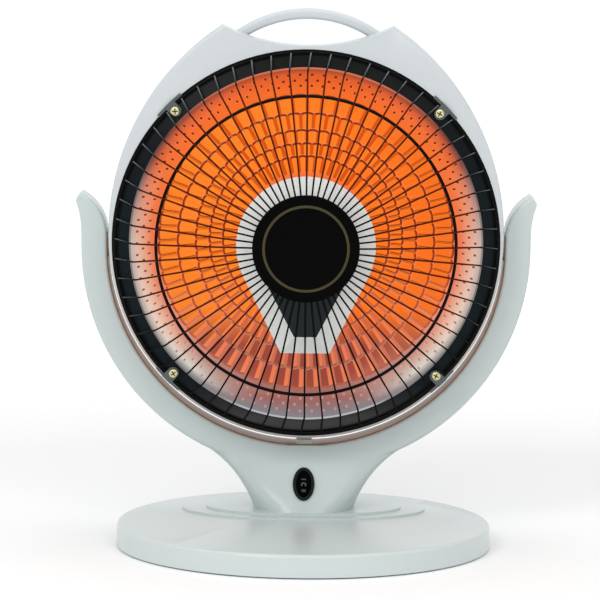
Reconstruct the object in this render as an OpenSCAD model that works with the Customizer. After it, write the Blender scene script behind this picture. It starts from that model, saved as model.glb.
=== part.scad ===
// Parabolic heater: a dish head with an omega-shaped heating tube tilts between the arms of a
// yoke, on a weighted disc base. The origin is the base's bottom centre, +Z is up and the
// heater faces -Y. All sizes are in millimetres.

/* [Base] */
// Radius of the disc base
base_r = 145; // [138:1:155]
// Height of the base's flat top above the floor
base_h = 18.5; // [17:0.5:24]
// Rounding of the base's top edge
base_edge_r = 3; // [2:0.5:5]
// Wall of the plastic shells
shell_t = 2.5; // [2:0.1:3]
// Height of the rubber feet
foot_h = 2; // [1.5:0.1:3]
// Radius of a rubber foot
foot_r = 9; // [7:0.5:11]
// Distance of the feet from the base's centre
foot_ring_r = 112; // [95:1:115]
// Number of rubber feet
foot_count = 5; // [4:1:6]
// Thickness of the steel base plate
plate_t = 2; // [1.5:0.1:2.5]
// Height of each raised step round the foot of the stand
step_rise = 1.4; // [0.8:0.1:2]
// Half width of the lower raised step
step_half_w = 96; // [90:1:100]
// Half depth of the lower raised step
step_half_d = 52; // [48:1:56]
// How far the upper step lies inside the lower one
step_inset = 19; // [6:0.5:20]
// Thickness of the cast weight in the base
weight_t = 7; // [5:0.5:8]
// Outer radius of the cast weight
weight_r = 124; // [118:1:126]
// Radius of the cast weight's middle hole
weight_hole_r = 46; // [42:1:50]

/* [Stand] */
// Distance of the stand and the tilt axis behind the base's centre
stand_y = 56; // [50:1:60]
// Height of the tilt axis above the floor
pivot_z = 228; // [220:1:240]
// Outer radius of the yoke
yoke_r = 176; // [174:0.5:180]
// Width of the yoke's arms, seen from the front
arm_w = 20.5; // [18:0.5:21.5]
// Depth of the yoke's arms
arm_d = 32; // [30:0.5:34]
// Rounding of the arms' edges
arm_edge_r = 3; // [2:0.25:4]
// Height above the tilt axis at which the arm tips start to flare
tip_rise = 8; // [4:0.5:12]
// Radius of the curve that flares the arm tips outwards
tip_flare_r = 38.4; // [36:0.2:42]
// Half width of the stand at its foot
foot_half_w = 39.6; // [36:0.2:42]
// Half depth of the stand at its foot
foot_half_d = 37; // [34:0.5:40]
// Squareness of the stand's plan at its foot
foot_square = 2.2; // [2:0.1:3]

/* [Head] */
// Height of the dish's axis above the tilt axis
head_up = 6.5; // [4:0.5:8]
// Distance of the frame's front face ahead of the tilt axis
head_fwd = 41; // [39:0.5:44]
// Outer radius of the front frame's round part
frame_r = 153; // [152:0.25:154]
// Thickness of the hoop round the frame's opening
hoop_t = 2; // [1.8:0.1:2.4]
// Depth of the front frame
frame_d = 22; // [20:0.5:23]
// Radius of the curved cheeks that widen the frame upwards
cheek_r = 193.5; // [190:0.5:197]
// Angle below the dish's axis at which the cheeks leave the round part
cheek_start = 10; // [8:0.5:12]
// Radius of the scooped top edge
scoop_r = 150; // [140:1:160]
// Rounding of the frame's front edge
frame_edge_r = 2.5; // [2:0.25:3]
// Depth of the whole head behind the frame's front face
head_d = 88; // [84:1:94]
// Rounding of the rear cover's edge
rear_edge_r = 28; // [24:1:32]
// Gap between the rear cover's rim and the frame's hoop
lap_gap = 0.4; // [0.2:0.05:0.6]
// Number of vent slots in each group on the rear cover
vent_count = 11; // [7:2:13]
// Width of a vent slot
vent_w = 4.5; // [3.5:0.25:5]
// Spacing of the vent slots
vent_pitch = 14; // [12:0.5:15]

/* [Handle] */
// Top of the carrying handle above the dish's axis
handle_top = 180.8; // [178:0.2:184]
// Radius of the handle's outer curve
handle_r = 97.4; // [92:0.5:102]
// Height of the handle's grip section
grip_h = 8; // [7:0.25:9]
// Depth of the handle's grip section
grip_d = 15; // [12:0.5:18]
// Half angle of the handle's curve
handle_half_angle = 50; // [47:0.5:53]

/* [Reflector] */
// Radius of the reflector's rim
dish_r = 137; // [136:0.25:138]
// Depth of the reflector
dish_d = 51; // [46:0.5:53]
// Distance of the reflector's rim ahead of the frame's front face
dish_fwd = 5; // [4:0.25:6]
// Thickness of the reflector sheet
dish_t = 0.8; // [0.6:0.1:1]
// Radius of the hole in the reflector's middle
dish_hole_r = 20; // [16:0.5:22]
// Number of pressed bricks in a row
brick_cols = 60; // [48:2:66]
// Bulge of the pressed bricks
brick_bulge = 1.6; // [0.6:0.1:2]
// Bulge of the arched ends of the bricks
brick_arch = 1.1; // [0.5:0.1:1.5]
// Radii of the brick rows' edges
row_r = [51.7, 64.8, 75.3, 86, 99.8, 114.5];

/* [Guard] */
// Number of spokes
spoke_count = 60; // [48:12:72]
// Radius of the spoke wire
spoke_r = 0.7; // [0.6:0.05:1]
// Radius of the ring wires
ring_wire_r = 1.25; // [1.1:0.05:1.4]
// Radius of the guard's outer ring
outer_ring_r = 148.6; // [148:0.1:149]
// Radius of the guard's middle ring
mid_ring_r = 116; // [100:1:124]
// Radius at which the spokes bend back to the outer ring
bend_r = 134.5; // [132:0.25:136]
// Radius of the spokes' long curve
spoke_curve_r = 490; // [470:5:560]
// Slope of the spokes where they bend
slope_in = 18; // [16:0.5:19]
// Slope of the spokes' legs
slope_leg = 40; // [36:0.5:44]
// Radius of the front cap
cap_r = 41.4; // [40:0.2:43]
// Thickness of the front cap
cap_t = 2.8; // [2.4:0.1:4]
// Distance of the guard screws from the dish's axis
clip_screw_r = 144.6; // [144:0.1:145]

/* [Element] */
// Radius of the round part of the element shield
shield_r = 54; // [50:0.5:56]
// Distance from the dish's axis down to the shield's bottom
shield_drop = 83.5; // [78:0.5:88]
// Half width of the shield's bottom
shield_half_w = 19; // [17:0.5:21]
// Width of the shield's sloping border
shield_border = 14; // [12:0.5:15]
// Distance of the shield's flat face ahead of the frame's front face
shield_fwd = 29; // [27:0.25:30]
// Depth of the shield's sloping border
shield_d = 11; // [9:0.5:12]
// Thickness of the shield sheet
shield_t = 0.8; // [0.6:0.1:1]
// Radius of the heating tube's loop
loop_r = 30; // [28:0.5:32]
// Radius of the quartz tube
tube_r = 5.5; // [5:0.25:6]
// Wall of the quartz tube
tube_wall = 1.1; // [0.8:0.1:1.4]
// Half the distance between the tube's legs
leg_half = 8.5; // [8:0.25:10]
// Radius of the bends between the loop and the legs
neck_bend_r = 12; // [10:0.5:14]
// Distance from the dish's axis down to the end of the tube
tube_drop = 64; // [60:0.5:66]
// Distance of the tube's middle ahead of the frame's front face
tube_fwd = 12; // [10:0.5:13]

/* [Switch] */
// Width of the oval switch bezel
bezel_w = 17; // [16:0.25:18]
// Height of the oval switch bezel
bezel_h = 27; // [26:0.25:28]
// Height of the switch's middle above the floor
switch_z = 42.2; // [40:0.5:45]
// Swing of the rocker to each side
rocker_swing = 10; // [8:0.5:12]

/* [Fits] */
// Gap between parts that are screwed or dropped together
fit_gap = 0.3; // [0.2:0.05:0.4]
// Radial clearance of a turning or sliding fit
run_gap = 0.05; // [0.03:0.01:0.08]
// Radius of the tilt pivot pins
pin_r = 4; // [3.5:0.1:4.5]
// Wall of the pivot bushes
bush_wall = 2.5; // [2:0.1:3]
// Radius of the round bosses at the pivots
boss_r = 9.5; // [9:0.1:10]
// Radius of the self-tapping screws
screw_r = 1.75; // [1.5:0.05:1.9]
// Radius of the screw heads
screw_head_r = 3.75; // [3.4:0.05:3.9]
// Height of the screw heads
screw_head_h = 2.4; // [2:0.1:2.6]
// Travel of the tip-over switch's plunger
plunger_travel = 4; // [3:0.25:4]

/* [Hidden] */
$fn = 96;

white = [0.84, 0.87, 0.88];
black = [0.07, 0.08, 0.09];
steel = [0.72, 0.73, 0.74];
far = 400;                                   // longer than anything that is cut

// heights and places
cover_lip = 1;                               // bottom edge of the base cover above the floor
plate_top = foot_h + plate_t;
stand_z = base_h + 2 * step_rise;            // seat of the stand on the base
head_z = pivot_z + head_up;
lip_y = stand_y - head_fwd;                  // plane of the frame's front face
yoke_in = yoke_r - arm_w;
open_r = frame_r - hoop_t;                   // opening of the front frame
cover_r = open_r - lap_gap;                  // rear cover's outer radius
boss_gap = 0.4;                              // gap between the head's and the yoke's bosses
head_boss_x = yoke_in - 2.3;                 // outer face of the head's pivot bosses
head_boss_in = cover_r - 5.4;                // inner face of those bosses, inside the rear cover
yoke_boss_x = head_boss_x + boss_gap;
boss_len = 12;                               // length of the yoke's pivot bosses
bush_r = pin_r + run_gap + bush_wall;

// Puts the head's own frame in place: X is right, Y is up and Z points forwards.
module in_head() translate([0, lip_y, head_z]) rotate([90, 0, 0]) children();

// Puts the yoke's own frame in place, with its origin at the middle of the tilt axis.
module in_yoke() translate([0, stand_y, pivot_z]) rotate([90, 0, 0]) children();

module left_and_right() {
  children();
  mirror([1, 0, 0]) children();
}

// A rectangle from corner a to corner b with rounded corners.
module round_rect(a, b, r) {
  translate([a[0] + r, a[1]]) square([b[0] - a[0] - 2 * r, b[1] - a[1]]);
  translate([a[0], a[1] + r]) square([b[0] - a[0], b[1] - a[1] - 2 * r]);
  for (x = [a[0] + r, b[0] - r], y = [a[1] + r, b[1] - r]) translate([x, y]) circle(r);
}

// A screw along -Z whose head rests on z = 0, with a cross recess.
module screw(len, head_r = screw_head_r, head_h = screw_head_h, r = screw_r) {
  difference() {
    union() {
      cylinder(h = head_h - 0.6, r = head_r);
      translate([0, 0, head_h - 0.6]) cylinder(h = 0.6, r1 = head_r, r2 = head_r - 0.9);
      translate([0, 0, -len]) cylinder(h = len + 0.1, r = r);
    }
    for (a = [0, 90]) rotate([0, 0, a]) {
      translate([-0.45, -head_r * 0.6, head_h - 1.2]) cube([0.9, head_r * 1.2, 2]);
    }
  }
}

// ---------------------------------------------------------------- base

weight_z = plate_top;                        // the cast weight lies on the base plate
base_screw_r = base_r - 12;                  // ring of the base plate's screws
base_screw_angles = [45, 135, 225, 315];
screw_post_r = 4;
neck_screw_x = 19;
neck_screw_y = 22;
gland_z = (plate_top + base_h - shell_t) / 2;  // the gland lies between the plate and the top
gland_lip_r = gland_z - plate_top - fit_gap;
gland_r = gland_lip_r - 0.7;
gland_bore_r = 3.3;
plunger_at = [0, -8];                        // the tip-over switch, in the weight's hole
plunger_r = 4;

module ellipse_plate(a, b, z0, z1) {
  translate([0, stand_y, z0]) scale([1, b / a, 1]) cylinder(h = z1 - z0, r = a, $fn = 128);
}

module base_cover() color(white) difference() {
  union() {
    difference() {
      rotate_extrude($fn = 180) {
        translate([0, cover_lip]) square([base_r, base_h - cover_lip - base_edge_r]);
        square_top = base_h - base_edge_r;
        translate([0, square_top - 0.01]) square([base_r - base_edge_r, base_edge_r + 0.01]);
        translate([base_r - base_edge_r, square_top]) circle(base_edge_r);
      }
      translate([0, 0, -1]) cylinder(h = base_h - shell_t + 1, r = base_r - shell_t);
    }
    ellipse_plate(step_half_w, step_half_d, base_h - 0.5, base_h + step_rise);
    ellipse_plate(step_half_w - step_inset, step_half_d - step_inset * 0.7, base_h, stand_z);
    for (a = base_screw_angles) rotate([0, 0, a]) {
      translate([base_screw_r, 0, plate_top]) cylinder(h = base_h - plate_top - 1, r = screw_post_r);
    }
    for (a = [15:30:345]) rotate([0, 0, a]) {
      rib_z = weight_z + weight_t + 1;
      translate([weight_hole_r, -0.9, rib_z]) cube([base_r - 1.5 - weight_hole_r, 1.8, base_h - 1 - rib_z]);
    }
  }
  translate([0, stand_y, 0]) cylinder(h = far, r = 12);
  for (x = [-1, 1], y = [-1, 1]) {
    translate([x * neck_screw_x, stand_y + y * neck_screw_y, 0]) cylinder(h = far, r = screw_r + 0.3);
  }
  for (x = [-1, 1], y = [-1, 1]) {
    translate([x * neck_screw_x, stand_y + y * neck_screw_y, 0]) {
      cylinder(h = base_h - shell_t, r = screw_head_r + 1);
    }
  }
  for (a = base_screw_angles) rotate([0, 0, a]) {
    translate([base_screw_r, 0, 0]) cylinder(h = plate_top + 8, r = screw_r - 0.4);
  }
  translate([0, base_r - 2 * shell_t, gland_z]) rotate([-90, 0, 0]) cylinder(h = far, r = gland_r);
}

module base_plate() color(steel) difference() {
  translate([0, 0, foot_h]) cylinder(h = plate_t, r = base_r - shell_t - fit_gap, $fn = 180);
  for (a = base_screw_angles) rotate([0, 0, a]) translate([base_screw_r, 0, 0]) {
    cylinder(h = far, r = screw_r + 0.3);
  }
  translate([plunger_at[0], plunger_at[1], 0]) cylinder(h = far, r = plunger_r + 0.6);
}

module base_weight() color([0.3, 0.3, 0.32]) difference() {
  translate([0, 0, weight_z]) cylinder(h = weight_t, r = weight_r, $fn = 180);
  translate([0, 0, weight_z - 1]) cylinder(h = weight_t + 2, r = weight_hole_r);
  for (x = [-1, 1]) {
    translate([x * neck_screw_x, stand_y + neck_screw_y, 0]) cylinder(h = far, r = screw_head_r + 2);
    translate([x * neck_screw_x, stand_y - neck_screw_y, 0]) cylinder(h = far, r = screw_head_r + 2);
  }
  translate([0, stand_y, 0]) cylinder(h = far, r = 12);
  for (a = base_screw_angles) rotate([0, 0, a]) {
    translate([base_screw_r, 0, 0]) cylinder(h = far, r = screw_post_r + 1);
  }
}

module base_feet() color([0.2, 0.2, 0.2]) for (k = [0:foot_count - 1]) {
  rotate([0, 0, 270 + k * 360 / foot_count]) translate([foot_ring_r, 0, 0]) {
    cylinder(h = foot_h, r1 = foot_r - 0.8, r2 = foot_r);
  }
}

module base_screws() color(steel) for (a = base_screw_angles) {
  rotate([0, 0, a]) translate([base_screw_r, 0, foot_h]) rotate([180, 0, 0]) {
    screw(8, head_h = 1.4, r = screw_r - 0.4);
  }
}

module cord_gland() color(black) translate([0, base_r - 0.4, gland_z]) rotate([90, 0, 0]) {
  difference() {
    union() {
      cylinder(h = shell_t + 1.5, r = gland_r - 0.01);
      translate([0, 0, shell_t + 1]) cylinder(h = 2, r = gland_lip_r);
    }
    translate([0, 0, -1]) cylinder(h = far, r = gland_bore_r);
  }
}

module tip_switch_body() color([0.85, 0.83, 0.78]) difference() {
  w = 26;
  translate([plunger_at[0] - w / 2, plunger_at[1] - 8, plate_top]) cube([w, 16, 9]);
  translate([plunger_at[0], plunger_at[1], plate_top - 1]) cylinder(h = 7.5, r = plunger_r + run_gap);
}

module tip_plunger() color([0.8, 0.2, 0.15]) translate([plunger_at[0], plunger_at[1], 0]) {
  cylinder(h = 1, r1 = plunger_r - 1, r2 = plunger_r);
  translate([0, 0, 1]) cylinder(h = plate_top + 1, r = plunger_r);
}

// ---------------------------------------------------------------- stand and yoke

// The sides of the stand are arcs that run tangentially into the yoke's outer circle.
side_x = 122.5;                              // centre of the stand's right side arc
side_z = stand_z - 28.7;
side_r = norm([side_x, pivot_z - side_z]) - yoke_r;
neck_top = pivot_z - yoke_r * (pivot_z - side_z) / (side_r + yoke_r);
neck_levels = 10;
neck_points = 16;
side_foot = side_x - sqrt(pow(side_r, 2) - pow(stand_z - side_z, 2));

function level_z(i) = stand_z + (neck_top - stand_z) * i / neck_levels;
function rest_share(z) = (neck_top - z) / (neck_top - stand_z);
function neck_half_w(z) = side_x - sqrt(pow(side_r, 2) - pow(z - side_z, 2))
  + (foot_half_w - side_foot) * rest_share(z);
function neck_half_d(z) = arm_d / 2 - 0.3
  + (foot_half_d - arm_d / 2 + 0.3) * pow(max(0, rest_share(z)), 1.6);
function neck_square(z) = foot_square + 6 * (1 - rest_share(z));
function signed_pow(v, p) = sign(v) * pow(abs(v), p);

// Half of the stand's tapering body: side is -1 for the front half and 1 for the rear half.
module neck_half(side, inset, z_low, z_high) {
  n = neck_points;
  levels = [for (i = [0:neck_levels]) z_low + (z_high - z_low) * i / neck_levels];
  points = [for (z = levels) let (e = 2 / neck_square(z), w = neck_half_w(z) - inset,
      d = neck_half_d(z) - inset) for (k = [0:n]) let (t = 180 * k / n)
      [w * signed_pow(cos(t), e), stand_y + side * d * signed_pow(sin(t), e), z]];
  m = n + 1;
  sides = [for (i = [0:neck_levels - 1], k = [0:n]) let (a = i * m + k, b = i * m + (k + 1) % m)
      each [[a, a + m, b], [b, a + m, b + m]]];
  low = [for (k = [1:n - 1]) [0, k, k + 1]];
  high = [for (k = [1:n - 1]) let (o = neck_levels * m) [o, o + k + 1, o + k]];
  faces = concat(sides, low, high);
  polyhedron(points, side > 0 ? faces : [for (f = faces) [f[2], f[1], f[0]]]);
}

// The arm's section, in the half that side names, with x as the radius.
module arm_section(side, inset) intersection() {
  round_rect([yoke_in + inset, -arm_d / 2 + inset], [yoke_r - inset, arm_d / 2 - inset],
    max(arm_edge_r - inset, 0.5));
  translate([0, side < 0 ? 0 : -arm_d]) square([far, arm_d]);
}

tip_centre = [yoke_in + tip_flare_r, tip_rise];
tip_back_r = 66;                             // curve of the tip's outer edge
tip_end_r = 17;
tip_end = [yoke_r - 10.5, tip_rise + 20.5];  // centre of the tip's rounded end
tip_back = [yoke_r + tip_back_r, tip_rise + 4];
tip_point_r = 5;                             // rounding where that end meets the back curve

// Where the circles round a and b, with the radii ra and rb, cross above the line from a to b
function crossing(a, ra, b, rb) = let (d = norm(b - a), u = (b - a) / d,
    along = (ra * ra - rb * rb + d * d) / (2 * d), up = sqrt(ra * ra - along * along))
  a + u * along + [-u[1], u[0]] * up;
tip_corner = crossing(tip_end, tip_end_r, tip_back, tip_back_r);
tip_round_at = crossing(tip_end, tip_end_r - tip_point_r, tip_back, tip_back_r + tip_point_r);
function beyond(p, far_p, k) = p + (far_p - p) * k;

// One arm's flared tip, in the yoke's frame.
module arm_tip(side) intersection() {
  translate([tip_centre[0], tip_centre[1], 0]) rotate_extrude(angle = 82, start = 98) {
    translate([yoke_in + tip_flare_r, 0]) mirror([1, 0]) arm_section(side, 0);
  }
  translate([0, 0, -arm_d]) linear_extrude(2 * arm_d) difference() {
    union() {
      translate([0, -1]) square([far, tip_end[1] + 1]);
      translate(tip_end) circle(tip_end_r);
    }
    translate(tip_back) circle(tip_back_r, $fn = 240);
    translate([yoke_r + 8, -far]) square([far, 2 * far]);
    difference() {
      polygon([tip_round_at, beyond(tip_end, tip_round_at, tip_end_r / (tip_end_r - tip_point_r)),
        beyond(tip_round_at, tip_corner, 1.6),
        beyond(tip_back, tip_round_at, tip_back_r / (tip_back_r + tip_point_r))]);
      translate(tip_round_at) circle(tip_point_r);
    }
  }
}

arm_post_angles = [205, 238, 302, 335];
arm_post_at = yoke_in + arm_w / 2;
neck_post = [27, -166];                      // posts inside the stand, in the yoke's frame

module yoke_half(side) {
  fwd = -side;
  difference() {
    union() {
      difference() {
        union() {
          in_yoke() rotate_extrude(angle = 180, start = 180, $fn = 180) arm_section(side, 0);
          in_yoke() left_and_right() {
            rotate([-90, 0, 0]) mirror([0, 1, 0]) linear_extrude(tip_rise) arm_section(side, 0);
            arm_tip(side);
          }
          neck_half(side, 0, stand_z, neck_top);
        }
        in_yoke() rotate_extrude(angle = 180, start = 180, $fn = 180) arm_section(side, shell_t);
        in_yoke() left_and_right() rotate([-90, 0, 0]) mirror([0, 1, 0]) {
          linear_extrude(tip_rise) arm_section(side, shell_t);
        }
        difference() {
          neck_half(side, shell_t, stand_z + shell_t, neck_top);
          in_yoke() translate([0, 0, -arm_d]) cylinder(h = 2 * arm_d, r = yoke_in + shell_t, $fn = 180);
        }
      }
      in_yoke() intersection() {
        left_and_right() translate([yoke_boss_x, 0, 0]) rotate([0, 90, 0]) cylinder(h = boss_len, r = boss_r);
        translate([-far, -far, side < 0 ? 0 : -2 * far]) cube([2 * far, 2 * far, 2 * far]);
      }
      for (x = [-1, 1]) translate([x * neck_screw_x, stand_y + side * neck_screw_y, stand_z]) {
        cylinder(h = 8, r = 4.2);
      }
      in_yoke() for (a = arm_post_angles) rotate([0, 0, a]) translate([arm_post_at, 0, 0]) {
        translate([0, 0, fwd > 0 ? 0 : -arm_d / 2 + 1]) cylinder(h = arm_d / 2 - 1, r = 4.2);
      }
    }
    in_yoke() left_and_right() rotate([0, 90, 0]) cylinder(h = yoke_r - shell_t - 0.5, r = bush_r);
    for (x = [-1, 1]) translate([x * neck_screw_x, stand_y + side * neck_screw_y, stand_z - 1]) {
      cylinder(h = 8, r = screw_r - 0.4);
    }
    in_yoke() for (a = arm_post_angles) rotate([0, 0, a]) translate([arm_post_at, 0, 0]) {
      translate([0, 0, -arm_d / 2 - 1]) {
        cylinder(h = fwd > 0 ? arm_d - 2.5 : arm_d, r = fwd > 0 ? screw_r - 0.4 : screw_r + 0.2);
      }
      if (fwd < 0) translate([0, 0, -arm_d]) cylinder(h = arm_d / 2 + 3, r = screw_head_r - 0.2);
    }
    if (fwd > 0) in_switch() translate([0, 0, -12]) {
      scale([(bezel_w - 2) / (bezel_h - 2), 1, 1]) cylinder(h = 24, r = bezel_h / 2 - 1);
    }
  }
}

module yoke_front() color(white) yoke_half(-1);
module yoke_rear() color(white) yoke_half(1);

module yoke_screws() color(steel) in_yoke() for (a = arm_post_angles) {
  rotate([0, 0, a]) translate([arm_post_at, 0, -arm_d / 2 + 3]) rotate([180, 0, 0]) {
    screw(20, head_r = screw_head_r - 0.45, r = screw_r - 0.4);
  }
}

module neck_screws() color(steel) for (x = [-1, 1], y = [-1, 1]) {
  translate([x * neck_screw_x, stand_y + y * neck_screw_y, base_h - shell_t]) rotate([180, 0, 0]) {
    screw(shell_t + 2 * step_rise + 6, r = screw_r - 0.4);
  }
}

module stop_pad() color([0.72, 0.72, 0.7]) in_yoke() intersection() {
  translate([-6, -yoke_in - 1, -4]) cube([12, 4.4, arm_d / 2 + 1]);
  translate([0, 0, -far / 2]) cylinder(h = far, r = yoke_in - 0.05, $fn = 180);
}

// ---------------------------------------------------------------- switch

switch_depth = neck_half_d(switch_z);
switch_lean = atan((neck_half_d(switch_z - 8) - neck_half_d(switch_z + 8)) / 16);
rocker_z = -2;                               // rocker's hinge below the bezel's seat
rocker_pin_r = 1;
well_w = bezel_w - 5;
well_h = bezel_h - 5;

// The switch's own frame: X is right, Y is up along the stand's face and Z points out of it.
module in_switch() translate([0, stand_y - switch_depth, switch_z]) {
  rotate([90 - switch_lean, 0, 0]) children();
}

module oval(w, h, len) scale([w / h, 1, 1]) cylinder(h = len, r = h / 2);

module switch_housing() color(black) in_switch() difference() {
  union() {
    translate([0, 0, 0.85]) oval(bezel_w, bezel_h, 1.35);
    translate([0, 0, -14]) oval(bezel_w - 2.4, bezel_h - 2.4, 15);
  }
  translate([0, 0, -9]) oval(well_w, well_h, 20);
  translate([-bezel_w, 0, rocker_z]) rotate([0, 90, 0]) {
    translate([0, 0, bezel_w / 2]) cylinder(h = bezel_w, r = rocker_pin_r + run_gap);
  }
}

module switch_rocker() color(black) in_switch() {
  intersection() {
    translate([0, 0, -9]) oval(well_w - 0.8, well_h - 1.4, 14);
    rotate([90, 0, 90]) translate([0, 0, -bezel_w / 2]) linear_extrude(bezel_w) {
      h = well_h / 2;
      polygon([[-h, 2.9], [0, 1.7], [h, 2.9], [h, -1.5], [3, -5.5], [-3, -5.5], [-h, -1.5]]);
    }
  }
  translate([-well_w / 2 - 0.9, 0, rocker_z]) rotate([0, 90, 0]) cylinder(h = well_w + 1.8, r = rocker_pin_r);
}

// ---------------------------------------------------------------- pivots

module at_pivot(side) in_yoke() mirror([side < 0 ? 1 : 0, 0, 0]) rotate([0, 90, 0]) children();

washer_t = 1.2;
nut_x = yoke_boss_x + boss_len + washer_t;

module pivot_bush(side) color([0.9, 0.88, 0.8]) at_pivot(side) difference() {
  translate([0, 0, yoke_boss_x]) cylinder(h = boss_len, r = bush_r);
  translate([0, 0, yoke_boss_x - 1]) cylinder(h = boss_len + 2, r = pin_r + run_gap);
}

module pivot_bush_left() pivot_bush(-1);
module pivot_bush_right() pivot_bush(1);

module pivot_pin(side) color(steel) at_pivot(side) {
  translate([0, 0, head_boss_in - 3]) cylinder(h = 3, r = pin_r + 3);
  translate([0, 0, head_boss_in - 0.1]) cylinder(h = nut_x + 4.6 - head_boss_in, r = pin_r);
}

module pivot_pin_left() pivot_pin(-1);
module pivot_pin_right() pivot_pin(1);

module pivot_washers() color([0.5, 0.5, 0.52]) for (s = [-1, 1]) at_pivot(s) difference() {
  translate([0, 0, yoke_boss_x + boss_len + 0.1]) cylinder(h = washer_t, r = pin_r + 3);
  translate([0, 0, 0]) cylinder(h = far, r = pin_r + 0.2);
}

module pivot_nuts() color(steel) for (s = [-1, 1]) at_pivot(s) difference() {
  translate([0, 0, nut_x + 0.15]) cylinder(h = 3.4, r = pin_r + 2.6, $fn = 6);
  cylinder(h = far, r = pin_r);
}

// ---------------------------------------------------------------- head housing

// The 2D outline of the head: a circle whose cheeks widen upwards to two shoulders.
cheek_off = cheek_r - frame_r;
cheek_at = [-cheek_off * cos(cheek_start), cheek_off * sin(cheek_start)];
shoulder_x = 65;
shoulder_y = 168;
scoop_y = shoulder_y + sqrt(pow(scoop_r, 2) - pow(shoulder_x, 2));
function on_ray(l) = [l * cos(cheek_start), -l * sin(cheek_start)];

// The region above the two rays at which the cheeks leave the round part
module upper_wedge() polygon([[0, 0], on_ray(far), [far, far], [-far, far],
  [-on_ray(far)[0], on_ray(far)[1]]]);

// The two cheeks' outline above the rays, cut by the scoop.
module cheeks(inset, scoop_inset) difference() {
  intersection() {
    upper_wedge();
    translate(cheek_at) circle(cheek_r - inset, $fn = 240);
    translate([-cheek_at[0], cheek_at[1]]) circle(cheek_r - inset, $fn = 240);
  }
  translate([0, scoop_y]) circle(scoop_r + scoop_inset, $fn = 240);
}

// The section of the frame's side wall and of its rounded front edge, at the outer radius r.
module frame_edge(r) {
  translate([r - shell_t, -frame_d]) square([shell_t, frame_d - frame_edge_r]);
  translate([r - frame_edge_r - 4, -shell_t]) square([4, shell_t]);
  translate([r - frame_edge_r, -frame_edge_r]) intersection() {
    circle(frame_edge_r);
    square(frame_edge_r);
  }
}

module part_ring(from, to) rotate_extrude(start = from, angle = to - from, $fn = 240) children();

shoulder_a = atan2(shoulder_x, scoop_y - shoulder_y);

module front_frame() color(white) in_head() difference() {
  union() {
    translate([0, 0, -shell_t]) linear_extrude(shell_t) cheeks(frame_edge_r + 1.5, 0);
    left_and_right() translate(cheek_at) part_ring(-cheek_start, 62) frame_edge(cheek_r);
    rotate_extrude($fn = 240) frame_edge(frame_r - 0.1);
    translate([0, scoop_y, 0]) part_ring(270.5 - shoulder_a, 269.5 + shoulder_a) {
      translate([scoop_r - 1, -frame_d]) square([1 + shell_t, frame_d - 1]);
    }
  }
  translate([0, scoop_y, -frame_d - 1]) cylinder(h = frame_d + 2, r = scoop_r, $fn = 240);
  translate([0, 0, -frame_d - 1]) cylinder(h = frame_d + 2, r = open_r, $fn = 240);
}

dome_rise = 12;                              // rise of the rear cover's shallow dome
wall_back = head_d - dome_rise;              // depth at which the cover's edge ends
cover_front = 9;                             // rim of the rear cover behind the front face

// The rear cover's outline in the plane of its axis, drawn inset by the wall.
module cover_profile(inset) {
  r = cover_r - inset;
  e = rear_edge_r - inset;
  dome_r = (pow(r - e, 2) + pow(dome_rise, 2)) / (2 * dome_rise);
  translate([0, -wall_back + inset]) square([r - e, wall_back - inset - cover_front]);
  translate([0, -wall_back + rear_edge_r]) square([r, wall_back - rear_edge_r - cover_front]);
  translate([r - e, -wall_back + rear_edge_r]) circle(e);
  intersection() {
    translate([0, dome_r - head_d + inset]) circle(dome_r, $fn = 400);
    translate([0, -head_d]) square([r - e, dome_rise + inset + 0.5]);
  }
}

module slot(len, w) {
  translate([-w / 2, -len / 2]) square([w, len]);
  for (y = [-1, 1]) translate([0, y * len / 2]) circle(w / 2, $fn = 24);
}

post_len = 34;                               // length of the posts for the guard screws
vent_top = 104;                              // radius that the vent slots stay inside
vent_low = 34;                               // half height of the plain middle band
block_at = [0, -58];
block_pad_z = -head_d + 12;
cutout_at = [34, -52];

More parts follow.
